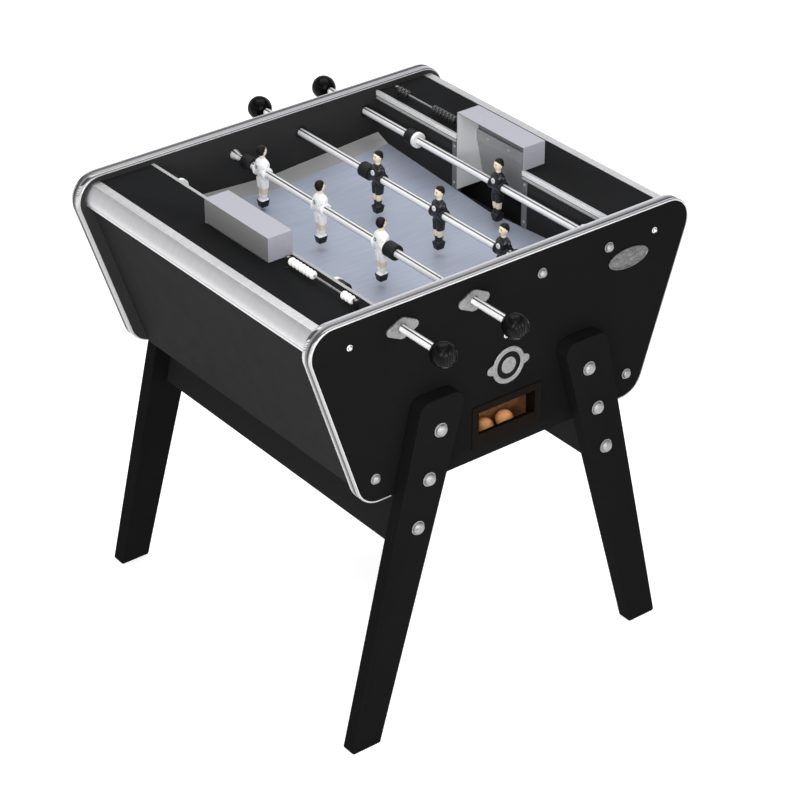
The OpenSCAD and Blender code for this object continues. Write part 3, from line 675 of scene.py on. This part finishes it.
def spaced(low, high, count):
    return [low + (high - low) * k / count for k in range(count + 1)]


def surface(bm, ys, height):
    """A solid under a fine grid of heights, its underside flat."""
    xs = spaced(-FIELD_X, FIELD_X, FIELD_CELLS)
    top = [[bm.verts.new((x, y, height(x, y))) for y in ys] for x in xs]
    low = [[bm.verts.new((x, y, FIELD_UNDER)) for y in ys] for x in xs]
    for i in range(len(xs) - 1):
        for j in range(len(ys) - 1):
            bm.faces.new((top[i][j], top[i + 1][j], top[i + 1][j + 1], top[i][j + 1]))
            bm.faces.new((low[i][j], low[i][j + 1], low[i + 1][j + 1], low[i + 1][j]))
    for i in range(len(xs) - 1):
        for j in (0, len(ys) - 1):
            bm.faces.new((top[i][j], low[i][j], low[i + 1][j], top[i + 1][j]))
    for j in range(len(ys) - 1):
        for i in (0, len(xs) - 1):
            bm.faces.new((top[i][j], top[i][j + 1], low[i][j + 1], low[i][j]))


bm = bmesh.new()
surface(bm, spaced(-RAMP_Y, RAMP_Y, FIELD_CELLS), field_height)
dress(built("playfield_surface", bm, grey_field), "table", "grey_playfield", "playfield")

bm = bmesh.new()
for way in (-1.0, 1.0):
    ys = sorted(way * v for v in (RAMP_Y, RAMP_Y + 1.0, 334.5, INNER_Y - 1.0, INNER_Y))
    surface(bm, ys, ramp_height)
dress(built("side_ramp_strips", bm, grey_ramp), "table", "grey_ramp", "side_ramps")

# ---------------------------------------------------------------- balls

BALL_R = 17.5
BALL_Y = -331.5
BALL_Z = 540.5


def ball(name, node, body, x, turn):
    bm = bmesh.new()
    bmesh.ops.create_uvsphere(bm, u_segments=48, v_segments=32, radius=BALL_R)
    bmesh.ops.transform(bm, matrix=Matrix.Translation((x, BALL_Y, BALL_Z)) @ turn, verts=bm.verts)
    dress(built(name, bm, cork, sharp=60.0), body, "cork_ball", node)


ball("ball_left_cork", "ball_left", "ball_left_body", -11.0, Matrix.Rotation(0.6, 4, "X"))
ball("ball_right_cork", "ball_right", "ball_right_body", 36.4, Matrix.Rotation(1.1, 4, "Y"))

# ---------------------------------------------------------------- plates and fasteners

BADGE_X, BADGE_Z = 5.0, 687.0
OVAL_X, OVAL_Z = 286.5, 812.0
OVAL_STEPS = 96
# The ear's small outer arc and large inner arc: distance from the badge's middle, radius.
EAR_TIP, EAR_TIP_R = 40.5, 8.5
EAR_ROOT, EAR_ROOT_R = 21.0, 15.0


def ear_outline(matrix, h, way, inset):
    """The blunt ear of the round plate: a large and a small arc joined by their tangents."""
    lean = math.acos((EAR_ROOT_R - EAR_TIP_R) / (EAR_TIP - EAR_ROOT))
    tip, root = EAR_TIP_R - inset, EAR_ROOT_R - inset
    points = []
    for a in spaced(-lean, lean, 12):
        points.append((EAR_TIP + tip * math.cos(a), tip * math.sin(a)))
    for a in spaced(lean, 2.0 * math.pi - lean, 12):
        points.append((EAR_ROOT + root * math.cos(a), root * math.sin(a)))
    return [matrix @ Vector((way * x, y, h)) for x, y in points]


def badge_plates():
    """A round plate with a blank black ring and two screwed ears, and an oval plate with a wavy relief."""
    bm = bmesh.new()
    face = axis_at((BADGE_X, -PANEL_Y, BADGE_Z), OUTWARD)
    lathe(bm, [(0, 0), (36.6, 0), (37.0, 0.5), (37.0, 1.9), (36.3, 2.5), (35.2, 2.9), (33.6, 3.0),
               (32.2, 2.7), (31.4, 2.4), (30.2, 2.4), (29.6, 2.9), (27.8, 2.9), (27.1, 2.2)], face, 72)
    lathe(bm, [(27.1, 2.2), (26.6, 1.9), (17.0, 1.9), (16.5, 2.1)], face, 72, 1)
    lathe(bm, [(16.5, 2.1), (16.1, 2.7), (15.4, 2.9), (0, 2.9)], face, 72)
    ear_levels = ((0.0, 0.3), (0.4, 0.0), (1.3, 0.0), (1.75, 0.6))
    for way in (-1.0, 1.0):
        loft(bm, [ear_outline(face, h, way, inset) for h, inset in ear_levels])
        ear = axis_at((BADGE_X + way * 41.0, -PANEL_Y - 1.6, BADGE_Z), OUTWARD)
        lathe(bm, [(4.6, 0), (4.4, 0.4), (3.6, 0.8), (2.0, 1.0), (0, 1.0)], ear, 32)
    oval_face = axis_at((OVAL_X, -PANEL_Y, OVAL_Z), OUTWARD)
    rim = [(0.0, 47.5, 20.3), (0.5, 47.8, 20.6), (2.0, 47.8, 20.6), (2.8, 46.9, 19.7), (3.0, 45.8, 18.6),
           (2.9, 44.9, 17.7), (2.1, 44.1, 16.9)]
    rings = [oval(oval_face, h, 0, 0, w, v, steps=OVAL_STEPS) for h, w, v in rim]
    floor_h, floor_w, floor_v = rim[-1]
    for f in (0.97, 0.90, 0.82, 0.74, 0.66, 0.58, 0.50, 0.42, 0.34, 0.26, 0.18, 0.10, 0.04):
        ring = oval(oval_face, floor_h, 0, 0, floor_w * f, floor_v * f, steps=OVAL_STEPS)
        for k, point in enumerate(ring):
            a = 2.0 * math.pi * k / OVAL_STEPS
            lift = 0.55 * math.sin(3.0 * a + 9.0 * f) * math.sin(math.pi * min(1.0, 1.4 * f)) ** 2
            ring[k] = point + OUTWARD * (0.4 * (1.0 - f) + lift)
        rings.append(ring)
    loft(bm, rings, 2)
    bmesh.ops.remove_doubles(bm, verts=bm.verts, dist=1e-4)
    plates = built("blank_badges", bm, plate_metal, badge_black, oval_metal)
    dress(plates, "table", "cast_plate", "badge_plates")


badge_plates()


def bolt_head(bm, matrix, r, h, skirt=1.0):
    """A carriage bolt's dome on a thin skirt."""
    profile = [(0, 0), (r - 0.3, 0), (r, 0.3), (r, skirt), (r - 0.4, skirt + 0.35), (r - 1.3, skirt + 0.45)]
    top = r - 1.6
    base = skirt + 0.6
    for k in range(9):
        a = math.radians(90.0 * k / 8)
        profile.append((top * math.cos(a) ** 0.9 if k < 8 else 0.0, base + (h - base) * math.sin(a)))
    lathe(bm, profile, matrix, 40)


def cap_nut(bm, matrix):
    """The domed nut at the end of an inner bar, on a washer."""
    lathe(bm, [(0, 0), (9.8, 0), (10.0, 0.3), (10.0, 1.2), (9.6, 1.5), (8.4, 1.6), (8.3, 3.0), (7.8, 4.8),
               (6.4, 6.5), (4.2, 7.6), (2.0, 8.0), (0, 8.0)], matrix, 40)


LEG_BOLTS = [(173.6 + 25.2 * k, 632.1 - 93.5 * k) for k in range(3)]
PANEL_BOLT_X, PANEL_BOLT_Z = 295.5, 562.0
PANEL_SCREWS = ((-349.0, 848.0), (0.0, 750.0), (349.0, 848.0))
bm = bmesh.new()
for turn in BOTH_SIDES:
    for way in (-1.0, 1.0):
        for x, z in LEG_BOLTS:
            bolt_head(bm, turn @ axis_at((way * x, -LEG_FACE_Y, z), OUTWARD), 14.0, 10.0)
            lathe(bm, [(0, 0), (4.8, 0), (5.0, 0.3), (5.0, 54.0), (4.6, 54.6), (0, 54.6)],
                  turn @ axis_at((way * x, -INNER_Y, z), OUTWARD), 24)
        bolt_head(bm, turn @ axis_at((way * PANEL_BOLT_X, -PANEL_Y, PANEL_BOLT_Z), OUTWARD), 10.5, 8.0)
    for i in (2, 3):
        cap_nut(bm, turn @ axis_at((ROD_X[i], -PANEL_Y, ROD_Z), OUTWARD))
dress(built("carriage_bolts", bm, bolt_metal), "table", "zinc_bolt", "domed_bolts")

bm = bmesh.new()
for turn in BOTH_SIDES:
    for x, z in PANEL_SCREWS:
        bolt_head(bm, turn @ axis_at((x, -PANEL_Y, z), OUTWARD), 6.0, 5.5, 0.5)
    for way in (-1.0, 1.0):
        for z in (780.0, 858.0):
            lathe(bm, [(0, 0), (2.9, 0), (3.0, 0.2), (2.7, 0.7), (1.8, 1.1), (0.9, 1.2), (0.8, 0.8),
                       (0, 0.8)], turn @ axis_at((266.0, way * 105.0, z), (-1, 0, 0)), 24)
    for y in (-62.0, 0.0, 62.0):
        lathe(bm, [(0, 0), (3.4, 0), (3.5, 0.2), (3.2, 0.7), (2.1, 1.1), (1.1, 1.2), (1.0, 0.8), (0, 0.8)],
              turn @ axis_at((314.0, y, 874.0), (-1, 0, 0)), 24)
dress(built("screw_heads", bm, screw_metal), "table", "zinc_bolt", "small_screws")

# ---------------------------------------------------------------- score counters

# Each counter: its place along X, then its near and its far post along Y.
SCORES = ((-301.0, -330.0, -133.0), (283.5, 115.0, 308.0))
WIRE_Z = 900.0
BEAD_PITCH = 10.2
BEAD_GAP = 0.2
POST_GAP = 7.0

bm = bmesh.new()
for x, near, far in SCORES:
    for y in (near, far):
        foot = axis_at((x, y, DECK_TOP), UP)
        lathe(bm, [(0, 0), (5.7, 0), (6.0, 0.4), (6.0, 1.2), (5.4, 1.7), (5.2, 2.4), (5.2, 18.6), (5.5, 19.2),
                   (5.5, 20.2), (5.1, 20.8), (3.2, 20.9), (0, 20.9)], foot, 32)
        lathe(bm, [(3.0, 20.7), (3.0, 21.0), (2.4, 21.4), (1.2, 21.5), (1.0, 21.2), (0, 21.2)], foot, 24, 1)
    lathe(bm, [(0, 0), (1.7, 0), (2.0, 0.4), (2.0, far - near - 0.4), (1.7, far - near), (0, far - near)],
          axis_at((x, near, WIRE_Z), ALONG), 24, 1)
dress(built("score_posts_and_wires", bm, stand_plastic, bolt_metal), "table", "black_stand", "score_stands")


def bead_row(node, material, slot, x, start, count):
    """Barrel-shaped beads side by side along the wire."""
    bm = bmesh.new()
    for k in range(count):
        washer(bm, [(2.05, 0.2), (2.5, 0), (4.2, 0.1), (5.6, 0.6), (6.8, 1.7), (7.6, 3.2), (8.0, 5.0),
                    (7.6, 6.8), (6.8, 8.3), (5.6, 9.4), (4.2, 9.9), (2.5, 10.0), (2.05, 9.8)],
               axis_at((x, start + k * BEAD_PITCH, WIRE_Z), ALONG), 32)
    dress(built(node + "_turned", bm, material), node + "_row", slot, node)


def row_length(count):
    return count * BEAD_PITCH - BEAD_GAP


WHITE_X, WHITE_NEAR, WHITE_FAR = SCORES[0]
BLACK_X, BLACK_NEAR, BLACK_FAR = SCORES[1]
white_end = WHITE_FAR - POST_GAP - row_length(7)
black_end = BLACK_FAR - POST_GAP - row_length(3)
bead_row("white_beads_unscored", white_bead_plastic, "white_bead", WHITE_X, white_end, 7)
bead_row("white_beads_scored", white_bead_plastic, "white_bead", WHITE_X, WHITE_NEAR + POST_GAP, 3)
bead_row("black_beads_unscored", black_bead_plastic, "black_bead", BLACK_X, BLACK_NEAR + POST_GAP, 7)
bead_row("black_beads_scored", black_bead_plastic, "black_bead", BLACK_X, black_end, 3)

# ---------------------------------------------------------------- fixed bars and bushes

bm = bmesh.new()
for turn in BOTH_SIDES:
    for i in (2, 3):
        lathe(bm, [(0, 0), (5.6, 0), (6.0, 0.5), (6.0, 24.0), (10.4, 24.1), (10.5, 24.4), (10.5, 25.4),
                   (10.2, 26.6), (9.5, 28.6), (8.8, 31.0), (8.1, 34.0), (7.6, 37.0), (7.3, 39.0), (7.0, 39.6),
                   (6.1, 39.8), (6.0, 40.2), (6.0, 673.6), (5.0, 675.0), (0, 675.0)],
              turn @ axis_at((ROD_X[i], -PANEL_Y, ROD_Z), ALONG), 48)
dress(built("telescopic_bars", bm, chrome), "table", "chrome", "inner_bars")

bm = bmesh.new()
for turn in BOTH_SIDES:
    for i in (0, 1):
        washer(bm, [(8.05, 0.6), (8.7, 0.1), (12.4, 0.1), (12.95, 0.6), (12.95, 23.4), (12.4, 23.9),
                    (8.7, 23.9), (8.05, 23.4)], turn @ axis_at((ROD_X[i], -PANEL_Y, ROD_Z), ALONG), 40)
dress(built("sleeve_bushes", bm, bush_plastic), "table", "frame_plastic", "rod_bushes")

# ---------------------------------------------------------------- men


# A man's material slots.
KIT, SKIN, HAIR, BOOT, PATCH, DOT, LIP = range(7)


def man(bm, m):
    """One man facing local +X, the rod axis at the origin."""
    column(bm, m, [(-14, 0, 0, 9.8, 10.8, 2.4), (-8, 0, 0, 9.8, 10.6, 2.5), (-2, 0, 0, 10.2, 11.0, 2.6),
                   (5, 0.3, 0, 11.4, 12.4, 2.6), (12, 0.6, 0, 12.4, 13.8, 2.5), (17, 0.5, 0, 11.8, 15.2, 2.4),
                   (21, 0.2, 0, 10.0, 14.8, 2.2), (24, 0, 0, 8.2, 11.8, 2.1), (26.5, 0, 0, 6.4, 8.2, 2.0)])
    column(bm, m, [(25.4, 0.2, 0, 6.6, 7.8, 2.0), (27.2, 0.2, 0, 6.2, 6.6, 2.0),
                   (28.2, 0.2, 0, 5.8, 5.8, 2.0)], KIT, 24)
    column(bm, m, [(26, 0, 0, 5.2, 5.3, 2.0), (30, 0, 0, 5.0, 5.0, 2.0),
                   (35, 0.2, 0, 5.4, 5.2, 2.0)], SKIN, 20)
    washer(bm, [(8.1, -17.4), (11.2, -17.4), (12.1, -16.9), (12.4, -16.0), (12.4, -13.4), (11.0, -12.6),
                (11.0, 12.6), (12.4, 13.4), (12.4, 16.0), (12.1, 16.9), (11.2, 17.4), (8.1, 17.4)],
           m @ axis_at((0, 0, 0), ALONG), 36)
    # shorts, knees, socks, arms, ears and eyes
    for way in (-1.0, 1.0):
        column(bm, m, [(-33.5, 0.4, way * 5.2, 8.0, 5.7, 2.3), (-32.6, 0.4, way * 5.3, 8.5, 6.0, 2.3),
                       (-26, 0.2, way * 5.4, 9.0, 6.0, 2.4), (-19, 0, way * 5.5, 9.5, 6.0, 2.4),
                       (-13, 0, way * 5.5, 9.8, 6.0, 2.4)], KIT, 24)
        column(bm, m, [(-50, 0.0, way * 4.0, 5.6, 4.2, 2.1), (-46, 0.3, way * 4.1, 6.2, 4.4, 2.1),
                       (-42, 0.8, way * 4.3, 6.9, 4.7, 2.1), (-39, 0.9, way * 4.5, 7.0, 4.8, 2.1),
                       (-35, 0.4, way * 4.8, 7.2, 5.1, 2.1), (-31, 0.2, way * 5.1, 7.5, 5.2, 2.1)], SKIN, 20)
        column(bm, m, [(-60, 0.2, way * 3.5, 5.2, 3.8, 2.1), (-55, 0.1, way * 3.7, 5.6, 4.0, 2.1),
                       (-50, 0.0, way * 4.0, 6.1, 4.5, 2.1), (-48.6, 0.1, way * 4.1, 6.5, 4.8, 2.1),
                       (-47.6, 0.2, way * 4.1, 6.4, 4.7, 2.1)], KIT, 20)
        limb(bm, m, [(0.0, way * 10.5, 20.5), (-0.8, way * 13.4, 17.6), (-3.6, way * 13.9, 11.5),
                     (-5.4, way * 13.8, 6.0), (-4.2, way * 13.0, 1.0), (-0.4, way * 11.4, -3.6),
                     (3.8, way * 9.4, -7.0), (6.4, way * 7.6, -8.8)],
             [3.4, 4.3, 4.0, 3.9, 3.7, 3.4, 3.0, 2.2])
        egg(bm, m, (-0.4, way * 8.5, 41.0), (1.7, 0.9, 2.5), SKIN, 8, 12)
        egg(bm, m, (8.55, way * 3.2, 44.0), (0.8, 1.1, 0.7), DOT, 6, 12)
    # boots: a low collar over a six-sided block that narrows to the sole
    blocks = ((-74.0, 7.6, 6.6), (-73.4, 8.1, 7.1), (-60.8, 10.4, 9.2), (-60.0, 10.0, 8.8))
    loft(bm, [oval(m, z, 0, 0, x, y, 7.0, 48) for z, x, y in blocks], BOOT)
    column(bm, m, [(-60.2, 0.2, 0, 9.6, 8.5, 5.0), (-59.2, 0.2, 0, 9.2, 8.1, 4.0),
                   (-57.4, 0.2, 0, 7.4, 7.2, 2.4), (-56.6, 0.2, 0, 6.4, 6.8, 2.2)], KIT, 24)
    # head: face, hair at the back and on top, nose, lips, brows
    egg(bm, m, (0.6, 0, 42.2), (9.0, 8.3, 11.2), SKIN, 16, 32)
    egg(bm, m, (-2.5, 0, 43.8), (8.5, 9.0, 10.4), HAIR, 16, 32)
    egg(bm, m, (-1.6, 0, 48.2), (8.8, 8.3, 6.3), HAIR, 14, 32)
    egg(bm, m, (9.4, 0, 41.4), (1.5, 1.3, 2.2), SKIN, 8, 12)
    egg(bm, m, (8.7, 0, 36.6), (0.9, 2.3, 0.6), LIP, 6, 14)
    for way in (-1.0, 1.0):
        brow = [(8.2, way * 4.6, 45.8), (9.0, way * 3.0, 46.3), (9.2, way * 1.7, 46.0)]
        limb(bm, m, brow, [0.35, 0.6, 0.35], HAIR, 8)


def back_ring(bm, m):
    """A thin grey ring on the left of the back."""
    ring = m @ axis_at((-12.0, 4.0, 11.5), (-1.0, 0.08, 0.06))
    lathe(bm, [(3.8, -0.8), (3.8, 0.6), (3.4, 0.9), (2.8, 0.9), (2.5, 0.6)], ring, 28, DOT)
    lathe(bm, [(2.5, 0.6), (0, 0.6)], ring, 28, PATCH)


def chest_disc(bm, m):
    """A round disc with a dark dot on the chest."""
    disc = m @ axis_at((12.3, 0.0, 12.6), (1.0, 0.0, 0.06))
    lathe(bm, [(5.4, -1.2), (5.4, 0.4), (5.0, 0.9), (4.4, 1.0), (1.2, 1.0)], disc, 32, PATCH)
    lathe(bm, [(1.2, 1.0), (1.0, 0.8), (0, 0.8)], disc, 24, DOT)


def men(node, i, body, slot, paints, places, mark):
    """The men of rod i at their places along it, each with its mark on the back or the chest."""
    bm = bmesh.new()
    for y in places:
        m = rod_frame(i) @ Matrix.Translation((0.0, y, 0.0))
        man(bm, m)
        mark(bm, m)
    dress(built(node + "_figures", bm, *paints, sharp=42.0), body, slot, node)


def rod_frame(i):
    """A rod's own frame: its middle at the origin, its knob towards -Y."""
    turn = IDENTITY if i < 2 else HALF_TURN
    return Matrix.Translation((ROD_X[i], 0.0, ROD_Z)) @ turn @ Matrix.Translation((0.0, ROD_PUSH[i], 0.0))


# ---------------------------------------------------------------- rods


def sleeve_profile(r_in, r_out, length, soft):
    """A ring's section with rounded outer edges, from 0 to length."""
    return [(r_in, 0.3), (r_in + 0.3, 0.0), (r_out - soft, 0.0), (r_out - soft * 0.3, soft * 0.3),
            (r_out, soft), (r_out, length - soft), (r_out - soft * 0.3, length - soft * 0.3),
            (r_out - soft, length),
            (r_in + 0.3, length), (r_in, length - 0.3)]


def rod_axis(i, y):
    return rod_frame(i) @ axis_at((0.0, y, 0.0), ALONG)


def bumper_profile(length):
    """A rubber bumper: soft shoulders and a shallow groove near each end."""
    return [(8.05, 0.4), (8.5, 0), (12.6, 0), (14.2, 0.5), (15.1, 1.6), (15.3, 2.8), (15.3, 4.4), (15.0, 4.7),
            (15.0, 5.2), (15.3, 5.5), (15.3, length - 5.5), (15.0, length - 5.2), (15.0, length - 4.7),
            (15.3, length - 4.4), (15.3, length - 2.8), (15.1, length - 1.6), (14.2, length - 0.5),
            (12.6, length), (8.5, length), (8.05, length - 0.4)]


# Bell-shaped knob outside its cap: distance from the axis, position along it.
KNOB_PROFILE = (
    (16.2, -17.2), (17.5, -16.2), (19.2, -14.7), (20.7, -12.8), (22.0, -10.6), (22.9, -8.2), (23.5, -5.4),
    (23.9, -2.4), (24.0, 0.4), (23.8, 3.6), (23.2, 6.8), (22.1, 10.0), (20.5, 13.4), (18.5, 16.6),
    (16.2, 19.4), (13.8, 21.6), (12.2, 22.8), (11.0, 23.4), (9.2, 23.5), (8.1, 23.2), (8.1, 4.0),
)
# Its cap, from the middle to the groove and the rim.
CAP_PROFILE = (
    (0.6, -19.4), (2.0, -19.4), (3.6, -19.3), (5.2, -19.2), (6.8, -19.0), (8.2, -18.8), (9.6, -18.6),
    (11.0, -18.3), (12.2, -18.0), (13.2, -17.8), (14.2, -17.4), (14.8, -18.0), (15.4, -18.2), (16.0, -17.8),
)
RIB_REACH = 12.5
RIB_PITCH = 5.6
RIB_HEIGHT = 0.8


def knob(bm, matrix):
    """The knob: a lathed bell closed by a cap with a rim and plain raised ribs."""
    steps = 72
    rings = []
    for r, y in CAP_PROFILE + KNOB_PROFILE:
        ring = []
        for k in range(steps):
            a = 2.0 * math.pi * k / steps
            x, z = r * math.cos(a), r * math.sin(a)
            rib = max(0.0, math.cos(2.0 * math.pi * x / RIB_PITCH)) if r < RIB_REACH and y < 0.0 else 0.0
            ring.append(matrix @ Vector((x, z, y - RIB_HEIGHT * rib)))
        rings.append(ring)
    loft(bm, rings)


RING_WIDTH = 8.7
GUIDE_LENGTH = 29.5


def rod(i, name, end, bumpers, rings):
    """Rod i: its chrome tube, knob and bumpers turn; its guide and stop rings only slide."""
    body = name + "_rod"
    knob_y = -KNOB_REST - ROD_PUSH[i]
    tube_start = knob_y + 4.0
    length = end - tube_start
    bm = bmesh.new()
    washer(bm, [(7.0, 0.3), (7.3, 0), (7.7, 0), (8.0, 0.3), (8.0, length - 0.6), (7.8, length), (7.3, length),
                (7.0, length - 0.4)], rod_axis(i, tube_start), 48)
    dress(built(name + "_tube_turned", bm, chrome), body, "chrome", name + "_tube")
    bm = bmesh.new()
    knob(bm, rod_axis(i, knob_y))
    dress(built(name + "_knob_turned", bm, knob_plastic), body, "knob_black", name + "_knob")
    bm = bmesh.new()
    for start, span in bumpers:
        washer(bm, bumper_profile(span), rod_axis(i, start), 48)
    dress(built(name + "_bumpers_moulded", bm, rubber), body, "bumper_rubber", name + "_bumpers")
    bm = bmesh.new()
    washer(bm, sleeve_profile(6.05, 6.95, GUIDE_LENGTH, 0.3), rod_axis(i, end - 30.0), 40)
    for start in rings:
        washer(bm, sleeve_profile(8.05, 15.8, RING_WIDTH, 1.4), rod_axis(i, start), 48)
    dress(built(name + "_guide_moulded", bm, nylon), name + "_carrier", "white_nylon", name + "_guide")


KEEPER_END = 273.0
ATTACK_END = 243.0
KEEPER_BUMPER = 24.0
ATTACK_BUMPER = 28.0
RING_INSET = 33.0
keeper_bumpers = [(KEEPER_END - KEEPER_BUMPER, KEEPER_BUMPER), (-KEEPER_END, KEEPER_BUMPER)]
keeper_rings = [KEEPER_END - RING_INSET, -KEEPER_END + RING_INSET - RING_WIDTH]
attack_bumpers = [(ATTACK_END - ATTACK_BUMPER, ATTACK_BUMPER), (-232.5, ATTACK_BUMPER)]
rod(0, "white_keeper", KEEPER_END, keeper_bumpers, keeper_rings)
rod(1, "white_attack", ATTACK_END, attack_bumpers, [])
rod(2, "black_attack", ATTACK_END, attack_bumpers, [])
rod(3, "black_keeper", KEEPER_END, keeper_bumpers, keeper_rings)

SHARED_PAINTS = (skin_paint, hair_paint, boot_paint, patch_paint, dot_paint, lip_paint)
WHITE_PAINTS = (white_paint, *SHARED_PAINTS)
BLACK_PAINTS = (black_paint, *SHARED_PAINTS)
ONE = (0.0,)
THREE = (-186.0, 0.0, 186.0)
men("white_keeper_man", 0, "white_keeper_rod", "white_kit", WHITE_PAINTS, ONE, back_ring)
men("white_attack_men", 1, "white_attack_rod", "white_kit", WHITE_PAINTS, THREE, back_ring)
men("black_attack_men", 2, "black_attack_rod", "black_kit", BLACK_PAINTS, THREE, chest_disc)
men("black_keeper_man", 3, "black_keeper_rod", "black_kit", BLACK_PAINTS, ONE, chest_disc)

# ---------------------------------------------------------------- stage, light, camera


FLOOR_HALF = 6.0
FLOOR_GLOW = 0.42


def stage_floor():
    """A plain pale floor that glows faintly, so that it stays near white."""
    bm = bmesh.new()
    bmesh.ops.create_grid(bm, x_segments=8, y_segments=8, size=FLOOR_HALF)
    r = Recipe("studio_floor", roughness=0.9, specular=0.1)
    r.colour(r.ramp(r.noise(2.0), [(0.3, (0.90, 0.90, 0.90)), (0.7, (0.92, 0.92, 0.92))]))
    r.shader.inputs["Emission Color"].default_value = (1.0, 1.0, 1.0, 1.0)
    r.shader.inputs["Emission Strength"].default_value = FLOOR_GLOW
    floor = piece("studio_floor", bm, r.material)


stage_floor()


def soft_light(name, place, aim, size, power):
    data = bpy.data.lights.new(name, "AREA")
    data.shape = "RECTANGLE"
    data.size, data.size_y = size
    data.energy = power
    lamp = link(bpy.data.objects.new(name, data))
    lamp.location = place
    lamp.rotation_euler = (Vector(aim) - Vector(place)).to_track_quat("-Z", "Y").to_euler()


soft_light("key_light", (-1.6, -2.4, 3.4), (0, 0, 0.7), (2.2, 2.2), 45.0)
soft_light("top_light", (0.6, 1.0, 3.6), (0, 0, 0.8), (3.0, 2.0), 50.0)
soft_light("front_light", (1.5, -3.6, 1.8), (0, 0, 0.6), (2.0, 2.0), 20.0)
soft_light("window_light", (-0.20, -1.05, 0.80), (0.0, -0.34, 0.56), (0.30, 0.20), 2.0)
soft_light("side_light", (-2.0, -1.9, 1.75), (0.20, 0.0, 0.85), (1.2, 1.0), 30.0)

world = bpy.data.worlds.new("studio")
bpy.context.scene.world = world
world.use_nodes = True


def studio_sky(tree):
    """A pale backdrop, a dark gap above it and a broad soft ceiling, by height alone."""
    background = tree.nodes["Background"]
    direction = tree.nodes.new("ShaderNodeTexCoord")
    height = tree.nodes.new("ShaderNodeSeparateXYZ")
    band = tree.nodes.new("ShaderNodeValToRGB")
    stops = ((0.0, 0.90), (0.38, 0.95), (0.50, 0.62), (0.58, 0.46), (0.66, 0.06), (0.76, 0.05), (0.80, 0.95),
             (1.0, 1.25))
    elements = band.color_ramp.elements
    while len(elements) < len(stops):
        elements.new(0.5)
    for element, (position, value) in zip(elements, stops):
        element.position = position
        element.color = (value, value, value * 1.02, 1.0)
    tree.links.new(direction.outputs["Generated"], height.inputs["Vector"])
    tree.links.new(height.outputs["Z"], band.inputs["Fac"])
    tree.links.new(band.outputs["Color"], background.inputs["Color"])
    background.inputs["Strength"].default_value = 1.0


studio_sky(world.node_tree)

CAMERA_AZIMUTH = -37.88
CAMERA_ELEVATION = 31.36
camera_data = bpy.data.cameras.new("camera")
camera_data.lens = 122.85
camera_data.sensor_width = 36.0
camera_data.clip_end = 100.0
camera = link(bpy.data.objects.new("camera", camera_data))
camera.location = (-2.737, -3.584, 3.1821)
camera.rotation_euler = (math.radians(90.0 - CAMERA_ELEVATION), 0.0, math.radians(CAMERA_AZIMUTH))
bpy.context.scene.camera = camera
bpy.context.scene.view_settings.view_transform = "Standard"
